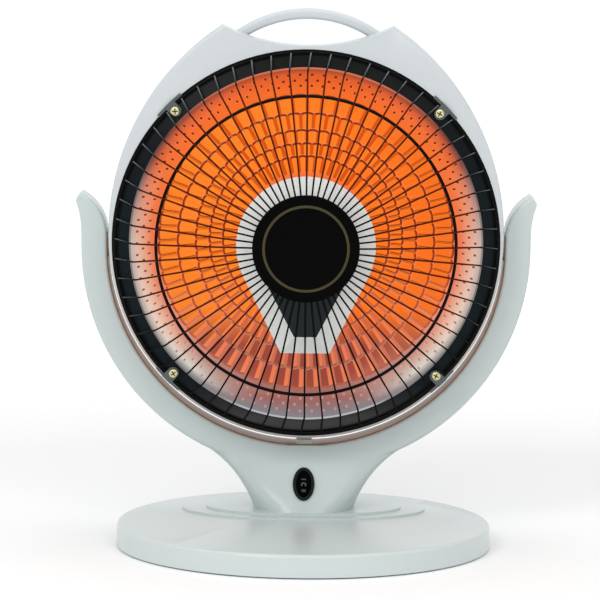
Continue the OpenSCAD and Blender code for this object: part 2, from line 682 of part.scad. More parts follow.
module rear_cover() color(white) in_head() difference() {
  union() {
    difference() {
      rotate_extrude($fn = 240) cover_profile(0);
      rotate_extrude($fn = 240) difference() {
        cover_profile(shell_t);
        translate([-far, -far]) square([far, 2 * far]);
      }
      translate([0, 0, -cover_front - 0.01]) cylinder(h = far, r = far);
    }
    difference() {
      translate([0, 0, -frame_d - shell_t]) linear_extrude(shell_t) {
        cheeks(0.3, 0.3);
        circle(frame_r - 0.6, $fn = 240);
      }
      translate([0, 0, -far]) cylinder(h = 2 * far, r = cover_r - 1, $fn = 240);
    }
    for (a = [45:90:315]) rotate([0, 0, a]) translate([clip_screw_r, 0, -cover_front - post_len]) {
      cylinder(h = post_len, r = 4.8);
    }
    left_and_right() translate([0, -head_up, -head_fwd]) rotate([0, 90, 0]) {
      translate([0, 0, head_boss_in]) cylinder(h = head_boss_x - head_boss_in, r = boss_r);
    }
    translate([block_at[0] - 18, block_at[1] - 9, -head_d + 4]) cube([36, 18, 8]);
    translate([cutout_at[0], cutout_at[1], -head_d + 4]) cylinder(h = 8, r = 9);
  }
  left_and_right() translate([0, -head_up, -head_fwd]) rotate([0, 90, 0]) cylinder(h = far, r = pin_r + 0.2);
  for (a = [45:90:315]) rotate([0, 0, a]) translate([clip_screw_r, 0, -30]) cylinder(h = 30, r = screw_r - 0.3);
  for (k = [0:vent_count - 1], s = [-1, 1]) {
    x = (k - (vent_count - 1) / 2) * vent_pitch;
    if (s > 0 || abs(x) > 60) {
      top = sqrt(pow(vent_top, 2) - pow(x, 2));
      translate([x, s * (vent_low + top) / 2, -far]) linear_extrude(far - wall_back + rear_edge_r) {
        slot(top - vent_low - vent_w, vent_w);
      }
    }
  }
  for (s = [-1, 1], k = [-4:4]) {
    rotate([0, 0, s * 90 + k * 9]) translate([cover_r, 0, -head_fwd - 12]) {
      if (abs(k) > 1.5 || s > 0) rotate([0, 90, 0]) linear_extrude(20, center = true) slot(12, vent_w - 0.5);
    }
  }
  for (x = [-1, 1]) translate([x * handle_screw_x, handle_screw_y, -far]) cylinder(h = far, r = screw_r + 0.2);
}

// ---------------------------------------------------------------- handle

handle_mid_r = handle_r - grip_h / 2;
handle_axis_y = handle_top - handle_r;
handle_screw_a = handle_half_angle - 4;
handle_screw_x = handle_mid_r * sin(handle_screw_a);
handle_screw_y = handle_axis_y + handle_mid_r * cos(handle_screw_a);
handle_back = -frame_d - shell_t;

module carry_handle() color(white) in_head() difference() {
  union() {
    translate([0, handle_axis_y, 0]) rotate_extrude(angle = 2 * handle_half_angle,
        start = 90 - handle_half_angle, $fn = 240) {
      round_rect([handle_mid_r - grip_h / 2, handle_back - grip_d],
        [handle_mid_r + grip_h / 2, handle_back], 3);
    }
    for (x = [-1, 1]) translate([x * handle_screw_x, handle_screw_y, handle_back - grip_d]) {
      cylinder(h = grip_d, r = grip_h / 2 + 1.5);
    }
  }
  for (x = [-1, 1]) translate([x * handle_screw_x, handle_screw_y, handle_back - grip_d - 1]) {
    cylinder(h = grip_d + 2, r = screw_r + 0.2);
    cylinder(h = grip_d - 5, r = screw_head_r + 0.2);
  }
}

module handle_screws() color(steel) in_head() for (x = [-1, 1]) {
  translate([x * handle_screw_x, handle_screw_y, handle_back - 6]) rotate([180, 0, 0]) screw(6 + shell_t + 3);
}

// ---------------------------------------------------------------- reflector

function dish_z(r) = dish_fwd - dish_d * (1 - pow(r / dish_r, 2));

// The plain middle of the dish, inside the brick rows, is a cone.
function middle_z(r) = dish_z(dish_hole_r) + (dish_z(row_r[0]) - dish_z(dish_hole_r))
  * (r - dish_hole_r) / (row_r[0] - dish_hole_r);
seg = 2 * brick_cols;
row_step = 0.7;                              // width of the step at the end of a brick
rows = len(row_r) - 1;

// Each ring of the pressed face: radius, the row whose bulge it has, the row whose arch it has.
smooth_r = [(row_r[rows] + dish_r) / 2 - 2, dish_r - 6, dish_r];
face_rings = concat([[dish_hole_r, -1, -1], [row_r[0], -1, -1]],
  [for (q = [0:rows - 1]) each [[row_r[q] + row_step, q, q - 1], [row_r[q + 1], q, q]]],
  [[row_r[rows] + row_step, -1, rows - 1]], [for (r = smooth_r) [r, -1, -1]]);
back_rings = [for (r = concat([dish_hole_r], row_r, smooth_r)) [r, -1, -1]];

function is_crown(k, q) = (k + q) % 2 == 0;
function ring_r(g, k) = g[0] + (g[2] < 0 ? 0 : is_crown(k, g[2]) ? brick_arch : -brick_arch / 2);
function ring_z(g, k) = dish_z(ring_r(g, k))
  + (g[1] < 0 ? 0 : is_crown(k, g[1]) ? brick_bulge * g[0] / row_r[rows] : 0);
function ring_points(g, drop) = [for (k = [0:seg - 1]) let (a = 360 * k / seg, r = ring_r(g, k))
  [r * cos(a), r * sin(a), ring_z(g, k) - drop]];

// Triangles between ring a and ring b, whose first points have those numbers.
function strip(a, b, n) = [for (k = [0:n - 1]) let (l = (k + 1) % n)
  each [[a + k, a + l, b + k], [a + l, b + l, b + k]]];
function turned(faces) = [for (f = faces) [f[0], f[2], f[1]]];

module reflector() color([0.9, 0.55, 0.35]) in_head() {
  m = len(face_rings);
  n = len(back_rings);
  points = concat([for (g = face_rings) each ring_points(g, 0)],
    [for (g = back_rings) each ring_points(g, dish_t)]);
  face = [for (i = [0:m - 2]) each strip(i * seg, (i + 1) * seg, seg)];
  back = [for (i = [m:m + n - 2]) each turned(strip(i * seg, (i + 1) * seg, seg))];
  hole = turned(strip(0, m * seg, seg));
  rim = strip((m - 1) * seg, (m + n - 1) * seg, seg);
  polyhedron(points, concat(face, back, hole, rim));
}

// ---------------------------------------------------------------- trim band and guard

band_in = dish_r - 3.5;                      // inner edge of the black band, under the reflector
band_out = open_r - fit_gap;
band_high = 3;                               // band's front at the reflector's rim
band_low = -0.8;                             // band's front at the frame
band_flat_r = outer_ring_r - 2;
seat_gap = 0.3;
clip_z = 2 * ring_wire_r + band_low + fit_gap; // underside of the clips

module trim_band() color(black) in_head() {
  difference() {
    union() {
      rotate_extrude($fn = 240) polygon([
        [band_in, dish_z(band_in) - dish_t - seat_gap],
        [dish_r + seat_gap, dish_z(dish_r) - dish_t - seat_gap - 0.1],
        [dish_r + seat_gap, band_high],
        [band_flat_r, band_low], [band_out, band_low],
        [band_out, band_low - 4], [band_in, band_low - 6]]);
      for (a = [45:90:315]) rotate([0, 0, a]) translate([clip_screw_r, 0, -cover_front]) {
        intersection() {
          cylinder(h = clip_z + cover_front, r = 4.6);
          translate([-clip_screw_r, 0, 0]) cylinder(h = far, r = outer_ring_r - ring_wire_r - 0.2, $fn = 240);
        }
      }
    }
    for (a = [45:90:315]) rotate([0, 0, a]) translate([clip_screw_r, 0, -far / 2]) {
      cylinder(h = far, r = screw_r + 0.2);
    }
  }
}

// The guard's wires, in the plane of one spoke: x is the radius and y points forwards.
ring_z0 = band_low + ring_wire_r;            // outer ring lies on the band
leg_end_z = ring_z0 + ring_wire_r + spoke_r / cos(slope_leg);
bend_z = leg_end_z + (outer_ring_r - bend_r) * tan(slope_leg);
bend_gap = 0.08;                             // how far past the bend the leg begins
leg_lean = 8;                                // the legs lean clockwise
curve_at = [bend_r - spoke_curve_r * sin(slope_in), bend_z - spoke_curve_r * cos(slope_in)];
function spoke_z(r) = curve_at[1] + sqrt(pow(spoke_curve_r, 2) - pow(r - curve_at[0], 2));
spoke_in_r = cap_r - 9;
curve_low = 90 - slope_in;
curve_high = acos((spoke_in_r - curve_at[0]) / spoke_curve_r);

module spoke() rotate([90, 0, 0]) {
  translate(curve_at) rotate_extrude(angle = curve_high - curve_low, start = curve_low, $fn = 720) {
    translate([spoke_curve_r, 0]) circle(spoke_r, $fn = 20);
  }
  translate([bend_r, bend_z]) rotate([0, 90 - leg_lean, -slope_leg]) translate([0, 0, bend_gap]) {
    cylinder(h = (outer_ring_r - bend_r) / cos(slope_leg) - bend_gap - 0.3, r = spoke_r, $fn = 20);
  }
}

module guard_spokes() color(black) in_head() for (k = [0:spoke_count - 1]) {
  rotate([0, 0, k * 360 / spoke_count]) spoke();
}

module wire_ring(r, z) rotate_extrude($fn = 240) translate([r, z]) circle(ring_wire_r, $fn = 24);

module guard_outer_ring() color(black) in_head() wire_ring(outer_ring_r, ring_z0);

mid_ring_z = spoke_z(mid_ring_r) - (spoke_r + ring_wire_r) / cos(slope_in) - 0.05;
module guard_middle_ring() color(black) in_head() wire_ring(mid_ring_r, mid_ring_z);

cap_back = spoke_z(spoke_in_r) + spoke_r + 0.1;
hub_top = spoke_z(cap_r - 2) - spoke_r - 0.1;
hub_t = 1.2;

module guard_cap() color(black) in_head() {
  rotate_extrude($fn = 180) difference() {
    union() {
      translate([0, cap_back]) square([cap_r, cap_t - 1]);
      translate([0, cap_back]) square([cap_r - 1, cap_t]);
      translate([cap_r - 1, cap_back + cap_t - 1]) circle(1);
      translate([0, hub_top]) square([6, cap_back - hub_top + 0.5]);
    }
    translate([0, cap_back + cap_t - 0.5]) square([cap_r - 3, 1]);
    translate([0, hub_top - 1]) square([screw_r - 0.2, 4]);
  }
}

module guard_hub_plate() color(black) in_head() difference() {
  translate([0, 0, hub_top - hub_t]) cylinder(h = hub_t, r = cap_r - 2);
  translate([0, 0, hub_top - far / 2]) cylinder(h = far, r = screw_r + 0.1);
}

module cap_screw() color(steel) in_head() translate([0, 0, hub_top - hub_t]) rotate([180, 0, 0]) {
  screw(3.6, head_h = 1.4, r = screw_r - 0.2);
}

clip_t = 1;
clip_w = 9;                                  // width of a clip's tab
clip_side = -0.5;                            // the tabs keep clear of the leaning wires
clip_half_a = 4.6;                           // half angle of a clip's lip along the rim
clip_lip_in = outer_ring_r + ring_wire_r + 0.25;
clip_lip_out = frame_r - 0.4;

module guard_clips() color([0.42, 0.44, 0.44]) in_head() for (a = [45:90:315]) rotate([0, 0, a]) {
  difference() {
    union() {
      intersection() {
        rotate_extrude($fn = 240) polygon([[clip_screw_r, clip_z], [clip_lip_in, clip_z],
          [clip_lip_in, fit_gap], [clip_lip_out, fit_gap], [clip_lip_out, clip_z + clip_t],
          [clip_screw_r, clip_z + clip_t]]);
        translate([0, clip_side - clip_w / 2, -1]) cube([far, clip_w, 20]);
      }
      translate([clip_screw_r, clip_side, clip_z]) cylinder(h = clip_t, r = clip_w / 2);
      part_ring(-clip_half_a, clip_half_a) translate([clip_lip_in + 0.1, fit_gap + 0.1]) {
        square([clip_lip_out - clip_lip_in - 0.2, clip_t]);
      }
    }
    translate([clip_screw_r, 0, -1]) cylinder(h = 20, r = screw_r + 0.2);
  }
}

module guard_screws() color([0.8, 0.78, 0.6]) in_head() for (a = [45:90:315]) rotate([0, 0, a]) {
  translate([clip_screw_r, 0, clip_z + clip_t]) screw(clip_z + clip_t + 24, r = screw_r - 0.3);
}

// ---------------------------------------------------------------- heating element

// A plate with the shield's outline, between the heights z0 and z1.
module keyhole(r, drop, half_w, z) translate([0, 0, z]) linear_extrude(0.05) {
  circle(r, $fn = 72);
  translate([-half_w, -drop]) square([2 * half_w, 1]);
}

module shield_solid(inset, deeper) hull() {
  b = shield_border;
  keyhole(shield_r - inset, shield_drop - inset, shield_half_w - inset * 0.7, shield_fwd - shield_d - deeper);
  keyhole(shield_r - b - inset, shield_drop - b - inset, shield_half_w - b * 0.74 - inset * 0.7,
    shield_fwd - inset);
}

module element_shield() color(steel) in_head() difference() {
  shield_solid(0, 0);
  shield_solid(shield_t, 0.4);
}

post_ring_r = 43;
post_r = 2.5;
post_foot_r = 5;

module shield_posts() color(steel) in_head() for (a = [90, 210, 330]) {
  rotate([0, 0, a]) translate([post_ring_r, 0, 0]) {
    low = middle_z(post_ring_r + post_foot_r) + 0.2;
    high = shield_fwd - shield_d * (post_ring_r + post_r - shield_r + shield_border) / shield_border - shield_t - 0.4;
    translate([0, 0, low]) cylinder(h = high - low, r = post_r);
    translate([0, 0, low]) cylinder(h = 1.5, r = post_foot_r);
  }
}

// The omega's centre line: a leg, a bend, the loop, a bend and a leg. A point is its place and
// the heading of the line there.
omega_x = leg_half + neck_bend_r;
omega_y = -sqrt(pow(loop_r + neck_bend_r, 2) - pow(omega_x, 2));
omega_a = atan2(-omega_y, omega_x);          // angle below +X at which the loop meets a bend
loop_steps = 36;
bend_steps = 5;
function on_arc(c, r, a, way) = [c[0] + r * cos(a), c[1] + r * sin(a), a + 90 * way];
omega = concat([[leg_half, -tube_drop, 90]],
  [for (i = [0:bend_steps - 1])
    on_arc([omega_x, omega_y], neck_bend_r, 180 - omega_a * i / bend_steps, -1)],
  [for (i = [0:loop_steps]) on_arc([0, 0], loop_r, -omega_a + (180 + 2 * omega_a) * i / loop_steps, 1)],
  [for (i = [1:bend_steps]) on_arc([-omega_x, omega_y], neck_bend_r, omega_a * (1 - i / bend_steps), -1)],
  [[-leg_half, -tube_drop, 270]]);

// The rings of points at radius r round the omega's centre line, with n sides.
function omega_points(r, n) = [for (p = omega, k = [0:n - 1])
  [p[0] + r * cos(360 * k / n) * sin(p[2]), p[1] - r * cos(360 * k / n) * cos(p[2]),
    tube_fwd + r * sin(360 * k / n)]];
function omega_skin(first, n) = [for (i = [0:len(omega) - 2])
  each strip(first + i * n, first + (i + 1) * n, n)];

module element_tube() color([0.95, 0.6, 0.4]) in_head() {
  n = 16;
  all = n * len(omega);
  ends = concat(strip(all, 0, n), strip(all - n, 2 * all - n, n));
  polyhedron(concat(omega_points(tube_r, n), omega_points(tube_r - tube_wall, n)),
    concat(turned(omega_skin(0, n)), omega_skin(all, n), turned(ends)));
}

module element_filament() color([1, 0.45, 0.1]) in_head() {
  n = 8;
  all = n * len(omega);
  ends = [for (k = [1:n - 2]) each [[0, k, k + 1], [all - n, all - n + k + 1, all - n + k]]];
  polyhedron(omega_points(1.6, n), concat(turned(omega_skin(0, n)), ends));
}

cap_wall = 1.6;
cap_overlap = 6;
cap_len = 14;

module element_end_caps() color([0.93, 0.92, 0.88]) in_head() left_and_right() {
  translate([leg_half, -tube_drop + cap_overlap, tube_fwd]) rotate([90, 0, 0]) difference() {
    cylinder(h = cap_len, r = tube_r + cap_wall);
    translate([0, 0, -1]) cylinder(h = cap_overlap + 1, r = tube_r + 0.1);
  }
}

bracket_t = 1.2;

module element_brackets() color(steel) in_head() {
  y = -tube_drop + cap_overlap - cap_len + 2.5;
  w = leg_half + tube_r + cap_wall + 2;
  low = dish_z(-y) + brick_bulge + 0.2;
  difference() {
    translate([-w, y, low]) cube([2 * w, bracket_t, tube_fwd - low]);
    for (x = [-1, 1]) translate([x * leg_half, y - 1, tube_fwd]) rotate([-90, 0, 0]) {
      cylinder(h = 4, r = tube_r + cap_wall + 0.1);
    }
  }
  translate([-w, y, low]) cube([2 * w, 8, bracket_t]);
}

module terminal_block() color([0.9, 0.89, 0.84]) in_head() translate([block_at[0], block_at[1], block_pad_z]) {
  difference() {
    translate([-15, -7, 0]) cube([30, 14, 11]);
    for (x = [-9, 0, 9]) translate([x, 0, 5]) cylinder(h = 10, r = 2.4);
    for (x = [-9, 0, 9]) translate([x, -10, 4]) rotate([-90, 0, 0]) cylinder(h = 20, r = 1.6);
  }
}

module thermal_cutout() color([0.2, 0.2, 0.22]) in_head() {
  translate([cutout_at[0], cutout_at[1], block_pad_z]) {
    cylinder(h = 6, r = 8);
    translate([0, 0, 6]) cylinder(h = 2, r = 6);
    for (x = [-1, 1]) translate([x * 4 - 0.4, -9, 1.5]) cube([0.8, 18, 3]);
  }
}

// ---------------------------------------------------------------- all pieces

base_cover();
base_plate();
base_weight();
base_feet();
base_screws();
cord_gland();
tip_switch_body();
tip_plunger();
yoke_front();
yoke_rear();
yoke_screws();
neck_screws();
switch_housing();
switch_rocker();
pivot_bush_left();
pivot_bush_right();
stop_pad();
front_frame();
rear_cover();
carry_handle();
handle_screws();
trim_band();
reflector();
guard_spokes();
guard_outer_ring();
guard_middle_ring();
guard_cap();
guard_hub_plate();
cap_screw();
guard_clips();
guard_screws();
element_shield();
shield_posts();
element_tube();
element_filament();
element_end_caps();
element_brackets();
pivot_pin_left();
pivot_pin_right();
pivot_washers();
pivot_nuts();
terminal_block();
thermal_cutout();
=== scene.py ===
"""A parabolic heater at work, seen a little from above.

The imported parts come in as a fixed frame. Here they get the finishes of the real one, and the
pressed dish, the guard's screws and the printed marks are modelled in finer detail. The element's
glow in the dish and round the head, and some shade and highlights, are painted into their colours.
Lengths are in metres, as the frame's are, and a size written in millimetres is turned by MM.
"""
import math

import bpy
from mathutils import Matrix, Vector


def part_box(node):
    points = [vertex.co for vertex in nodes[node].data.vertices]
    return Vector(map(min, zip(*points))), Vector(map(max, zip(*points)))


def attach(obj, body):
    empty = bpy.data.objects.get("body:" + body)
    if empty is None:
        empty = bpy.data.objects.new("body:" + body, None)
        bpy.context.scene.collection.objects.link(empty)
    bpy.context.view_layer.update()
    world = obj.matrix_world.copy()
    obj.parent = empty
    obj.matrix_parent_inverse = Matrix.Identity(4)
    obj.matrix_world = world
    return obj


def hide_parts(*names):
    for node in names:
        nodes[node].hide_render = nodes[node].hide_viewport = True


MM = 0.001
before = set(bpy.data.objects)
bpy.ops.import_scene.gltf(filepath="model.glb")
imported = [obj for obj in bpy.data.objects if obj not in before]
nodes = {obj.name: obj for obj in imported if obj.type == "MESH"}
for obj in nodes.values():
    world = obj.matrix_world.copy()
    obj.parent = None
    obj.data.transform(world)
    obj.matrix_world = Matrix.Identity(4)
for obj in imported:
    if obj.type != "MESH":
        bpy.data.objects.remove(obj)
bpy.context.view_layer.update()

# The head's own frame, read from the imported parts: its axis, and the front face's plane
cap_low, cap_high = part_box("guard_cap")
head_centre = Vector(((cap_low.x + cap_high.x) / 2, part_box("front_frame")[0].y,
                      (cap_low.z + cap_high.z) / 2))
pin_low, pin_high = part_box("pivot_pin_left")
pivot_z = (pin_low.z + pin_high.z) / 2
TO_HEAD = Matrix.Translation(head_centre) @ Matrix.Rotation(math.radians(90), 4, "X")
DISH_R = 137 * MM                # the pressed dish's rim


# ---------------------------------------------------------------- small tools

def rgb(hex_code):
    """An sRGB hex colour as the linear RGBA that a shader takes."""
    parts = [int(hex_code[i:i + 2], 16) / 255 for i in (1, 3, 5)]
    return tuple(c / 12.92 if c <= 0.04045 else ((c + 0.055) / 1.055) ** 2.4
                 for c in parts) + (1.0,)


def set_inputs(tree, node, values):
    """Gives a node's inputs, by name or number, a value, a hex colour, another node's output, or
    another node, which stands for its first output."""
    for key, value in values.items():
        if isinstance(value, bpy.types.Node):
            value = value.outputs[0]
        if isinstance(value, bpy.types.NodeSocket):
            tree.links.new(value, node.inputs[key])
        else:
            node.inputs[key].default_value = rgb(value) if isinstance(value, str) else value


def add_node(tree, kind, inputs=None, stops=None, **settings):
    """Adds a node with its inputs and settings. stops gives a ramp's hex colours by place."""
    made = tree.nodes.new(kind)
    for key, value in settings.items():
        setattr(made, key, value)
    set_inputs(tree, made, inputs or {})
    if stops:
        points = made.color_ramp.elements
        first, *between, last = sorted(stops)
        points[0].position, points[0].color = first, rgb(stops[first])
        points[-1].position, points[-1].color = last, rgb(stops[last])
        for place in between:
            points.new(place).color = rgb(stops[place])
    return made


def material(name):
    """A new material with an empty tree, and its shader and output joined."""
    made = bpy.data.materials.new(name)
    made.use_nodes = True
    tree = made.node_tree
    tree.nodes.clear()
    shader = add_node(tree, "ShaderNodeBsdfPrincipled")
    add_node(tree, "ShaderNodeOutputMaterial", {"Surface": shader})
    return made, tree, shader


def fade(tree, value, low, high, below, above):
    """A colour that turns from one tone to another as a value goes from low to high."""
    share = add_node(tree, "ShaderNodeMapRange",
                     {"Value": value, "From Min": low, "From Max": high})
    return add_node(tree, "ShaderNodeMix", {0: share, 6: below, 7: above},
                    data_type="RGBA").outputs[2]


def coat(obj, *finishes):
    """Gives a piece its finishes in place of those that it has."""
    obj.data.materials.clear()
    for finish in finishes:
        obj.data.materials.append(finish)


def dress(finish, *names):
    """Gives the CAD nodes of those names one finish."""
    for name in names:
        coat(nodes[name], finish)


def only(obj):
    """Selects one object and nothing else."""
    bpy.ops.object.select_all(action="DESELECT")
    obj.select_set(True)
    bpy.context.view_layer.objects.active = obj


def select(obj, kind, test):
    """In edit mode, selects the faces, edges or vertices that pass a test of the element."""
    bpy.ops.object.mode_set(mode="OBJECT")
    mesh = obj.data
    for group in (mesh.vertices, mesh.edges, mesh.polygons):
        group.foreach_set("select", [False] * len(group))
    group = {"VERT": mesh.vertices, "EDGE": mesh.edges, "FACE": mesh.polygons}[kind]
    group.foreach_set("select", [bool(test(e)) for e in group])
    bpy.context.tool_settings.mesh_select_mode = (kind == "VERT", kind == "EDGE", kind == "FACE")
    bpy.ops.object.mode_set(mode="EDIT")


def smoothed(name, angle=32):
    """A copy of a CAD node whose loose triangles are joined and shaded as one smooth skin."""
    bpy.ops.object.select_all(action="DESELECT")
    copy = nodes[name].copy()
    copy.data = nodes[name].data.copy()
    for key in list(copy.keys()):
        del copy[key]
    copy.parent = None
    copy.name = name + "_skin"
    bpy.context.scene.collection.objects.link(copy)
    only(copy)
    if copy.data.has_custom_normals:
        bpy.ops.mesh.customdata_custom_splitnormals_clear()
    bpy.ops.object.mode_set(mode="EDIT")
    bpy.ops.mesh.select_all(action="SELECT")
    bpy.ops.mesh.remove_doubles(threshold=0.02 * MM)
    bpy.ops.object.mode_set(mode="OBJECT")
    bpy.ops.object.shade_smooth_by_angle(angle=math.radians(angle))
    return copy


def place_in_head(obj):
    """Moves a piece that was made in the head's own frame to its place, in its mesh."""
    obj.data.transform(TO_HEAD)
    obj.data.update()


# ---------------------------------------------------------------- finishes
# A noise's scale is one over the size of its grain, in metres.

def moulded_white(name, colour):
    """White ABS, injection moulded and semi-gloss: an orange-peel skin of 1 mm cells, and soft
    highlights whose gloss drifts over a hand's width."""
    made, tree, shader = material(name)
    place = add_node(tree, "ShaderNodeTexCoord").outputs["Object"]
    peel = add_node(tree, "ShaderNodeTexNoise",
                    {"Vector": place, "Scale": 1 / (1.11 * MM), "Detail": 2.0})
    cloud = add_node(tree, "ShaderNodeTexNoise",
                     {"Vector": place, "Scale": 1 / (71.4 * MM), "Detail": 3.0})
    gloss = add_node(tree, "ShaderNodeMapRange", {"Value": cloud, "To Min": 0.2, "To Max": 0.3})
    bump = add_node(tree, "ShaderNodeBump",
                    {"Height": peel, "Strength": 0.05, "Distance": 0.2 * MM})
    set_inputs(tree, shader,
               {"Base Color": colour, "IOR": 1.54, "Roughness": gloss, "Normal": bump})
    return made


def moulded_black(name, colour, specular):
    """A black plastic, moulded with a fine grain: dark with a broad grey sheen. The real grain is
    about 0.1 mm, and is drawn four times as coarse so that it shows."""
    made, tree, shader = material(name)
    place = add_node(tree, "ShaderNodeTexCoord").outputs["Object"]
    grain = add_node(tree, "ShaderNodeTexNoise",
                     {"Vector": place, "Scale": 1 / (0.455 * MM), "Detail": 2.0})
    gloss = add_node(tree, "ShaderNodeMapRange", {"Value": grain, "To Min": 0.3, "To Max": 0.42})
    bump = add_node(tree, "ShaderNodeBump",
                    {"Height": grain, "Strength": 0.12, "Distance": 0.1 * MM})
    set_inputs(tree, shader, {"Base Color": colour, "Specular IOR Level": specular,
                              "Roughness": gloss, "Normal": bump})
    return made


def black_enamel(name, specular, colour="#030303"):
    """Gloss enamel, sprayed on steel wire and sheet: deep black with small sharp highlights, and
    a gloss that varies with the spray's 3 mm flow."""
    made, tree, shader = material(name)
    place = add_node(tree, "ShaderNodeTexCoord").outputs["Object"]
    flow = add_node(tree, "ShaderNodeTexNoise",
                    {"Vector": place, "Scale": 1 / (2.86 * MM), "Detail": 2.0})
    gloss = add_node(tree, "ShaderNodeMapRange", {"Value": flow, "To Min": 0.16, "To Max": 0.28})
    set_inputs(tree, shader,
               {"Base Color": colour, "Specular IOR Level": specular, "Roughness": gloss})
    return made


def zinc_plate():
    """Steel, zinc plated and passivated: a pale yellowish metal, softly cloudy."""
    made, tree, shader = material("zinc-plated steel")
    place = add_node(tree, "ShaderNodeTexCoord").outputs["Object"]
    cloud = add_node(tree, "ShaderNodeTexNoise",
                     {"Vector": place, "Scale": 1 / (1.43 * MM), "Detail": 3.0})
    tint = add_node(tree, "ShaderNodeMix", {0: cloud, 6: "#B9B69C", 7: "#DEDAC4"},
                    data_type="RGBA")
    gloss = add_node(tree, "ShaderNodeMapRange", {"Value": cloud, "To Min": 0.22, "To Max": 0.38})
    set_inputs(tree, shader,
               {"Metallic": 1.0, "Base Color": tint.outputs[2], "Roughness": gloss})
    return made


def plain(name, colour, roughness, metallic=0.0, grain=1.67 * MM, spread=0.08, strength=0.1):
    """A finish with a fine mottle of a given grain: its colour and gloss vary a little from place
    to place, and its skin is faintly uneven."""
    made, tree, shader = material(name)
    place = add_node(tree, "ShaderNodeTexCoord").outputs["Object"]
    mottle = add_node(tree, "ShaderNodeTexNoise",
                      {"Vector": place, "Scale": 1 / grain, "Detail": 3.0})
    full = rgb(colour)
    dull = tuple(0.88 * c for c in full[:3]) + (1.0,)
    tint = add_node(tree, "ShaderNodeMix", {0: mottle, 6: dull, 7: full}, data_type="RGBA")
    gloss = add_node(tree, "ShaderNodeMapRange", {"Value": mottle, "To Min": roughness - spread,
                                                  "To Max": roughness + spread})
    bump = add_node(tree, "ShaderNodeBump",
                    {"Height": mottle, "Strength": strength, "Distance": 0.2 * MM})
    set_inputs(tree, shader, {"Metallic": metallic, "Base Color": tint.outputs[2],
                              "Roughness": gloss, "Normal": bump})
    return made


def glowing(name, colour, strength):
    """A part at working heat, seen by its own light, which wavers a little along it."""
    made, tree, shader = material(name)
    place = add_node(tree, "ShaderNodeTexCoord").outputs["Object"]
    waver = add_node(tree, "ShaderNodeTexNoise",
                     {"Vector": place, "Scale": 1 / (3.85 * MM), "Detail": 2.0})
    power = add_node(tree, "ShaderNodeMapRange",
                     {"Value": waver, "To Min": strength * 0.9, "To Max": strength * 1.1})
    set_inputs(tree, shader, {"Base Color": "#6B3A22", "Roughness": 0.4,
                              "Emission Color": colour, "Emission Strength": power})
    return made


def dish_axes(tree):
    """Three outputs for a pattern that follows the dish: the height, from 0 at the rim's bottom to
    1 at its top, the distance from the dish's axis, and the place in the dish's plane."""
    place = add_node(tree, "ShaderNodeTexCoord").outputs["Object"]
    centred = add_node(tree, "ShaderNodeMapping",
                       {"Vector": place, "Location": (0.0, 0.0, -head_centre.z)})
    flat = add_node(tree, "ShaderNodeVectorMath", {0: centred, 1: (1.0, 0.0, 1.0)},
                    operation="MULTIPLY").outputs[0]
    axes = add_node(tree, "ShaderNodeSeparateXYZ", {0: flat})
    height = add_node(tree, "ShaderNodeMapRange",
                      {"Value": axes.outputs["Z"], "From Min": -DISH_R, "From Max": DISH_R})
    radius = add_node(tree, "ShaderNodeVectorMath", {0: flat}, operation="LENGTH")
    return height.outputs[0], radius.outputs["Value"], flat


def pressed_metal_painted_glow(name, tone):
    """Aluminium sheet, pressed and bright, with the element's reflected light painted in as a glow.
    tone(tree) gives the painted glow's colour; the metal under it is made dark, so that it adds
    only a little of the room."""
    made, tree, shader = material(name)
    place = add_node(tree, "ShaderNodeTexCoord").outputs["Object"]
    wear = add_node(tree, "ShaderNodeTexNoise",
                    {"Vector": place, "Scale": 1 / (2.38 * MM), "Detail": 3.0})
    gloss = add_node(tree, "ShaderNodeMapRange", {"Value": wear, "To Min": 0.19, "To Max": 0.31})
    # painted glow: the emission stands for the element's light reflected in the dish
    set_inputs(tree, shader, {"Metallic": 1.0, "Base Color": "#4A3026", "Roughness": gloss,
                              "Emission Strength": 0.95, "Emission Color": tone(tree)})
    return made


def by_height(stops):
    """A tone that depends on the height over the dish's bottom alone."""
    def tone(tree):
        height = dish_axes(tree)[0]
        return add_node(tree, "ShaderNodeValToRGB", {"Fac": height}, stops).outputs[0]
    return tone


def top_tone(tree):
    """The bricks' flat tops, the element's reflected glow painted in: orange above, redder to the
    right, and brown below with a painted highlight of orange on one side. Streaks in the painted glow
    run across each brick, a third of its width long."""
    height, radius, flat = dish_axes(tree)
    across = add_node(tree, "ShaderNodeAttribute", attribute_name="across").outputs["Fac"]
    place = add_node(tree, "ShaderNodeCombineXYZ", {"X": across, "Y": radius, "Z": 0.0})
    streak = add_node(tree, "ShaderNodeMapping", {"Vector": place, "Scale": (3.0, 9.0, 1.0)})
    grain = add_node(tree, "ShaderNodeTexNoise", {"Vector": streak, "Scale": 2.4, "Detail": 4.0})
    left = add_node(tree, "ShaderNodeValToRGB", {"Fac": grain},
                    {0.3: "#F8741C", 0.5: "#FF8628", 0.72: "#FF9A3C"})
    right = add_node(tree, "ShaderNodeValToRGB", {"Fac": grain},
                     {0.3: "#F2600E", 0.5: "#FA7220", 0.72: "#FF8836"})
    sideways = add_node(tree, "ShaderNodeSeparateXYZ", {0: flat}).outputs["X"]
    upper = fade(tree, sideways, -40 * MM, 100 * MM, left, right)
    lower = fade(tree, across, 0.18, 0.26, "#98483A", "#EA7C54")
    return fade(tree, height, 0.2, 0.31, lower, upper)


def side_tone(tree):
    """The bricks' long sides, over the painted glow: painted shade where they face down, and a
    painted highlight where they face up.
    """
    height = dish_axes(tree)[0]
    facing = add_node(tree, "ShaderNodeAttribute", attribute_name="facing").outputs["Fac"]
    level = by_height({0.2: "#C87058", 0.34: "#D8582C", 0.45: "#D85416", 0.9: "#D65414"})(tree)
    down = fade(tree, height, 0.3, 0.42, "#C06A50", "#86340E")
    up = fade(tree, height, 0.3, 0.42, "#EE9468", "#FA7C28")
    return fade(tree, facing, 0.6, 0.9, fade(tree, facing, -0.6, -0.9, level, down), up)
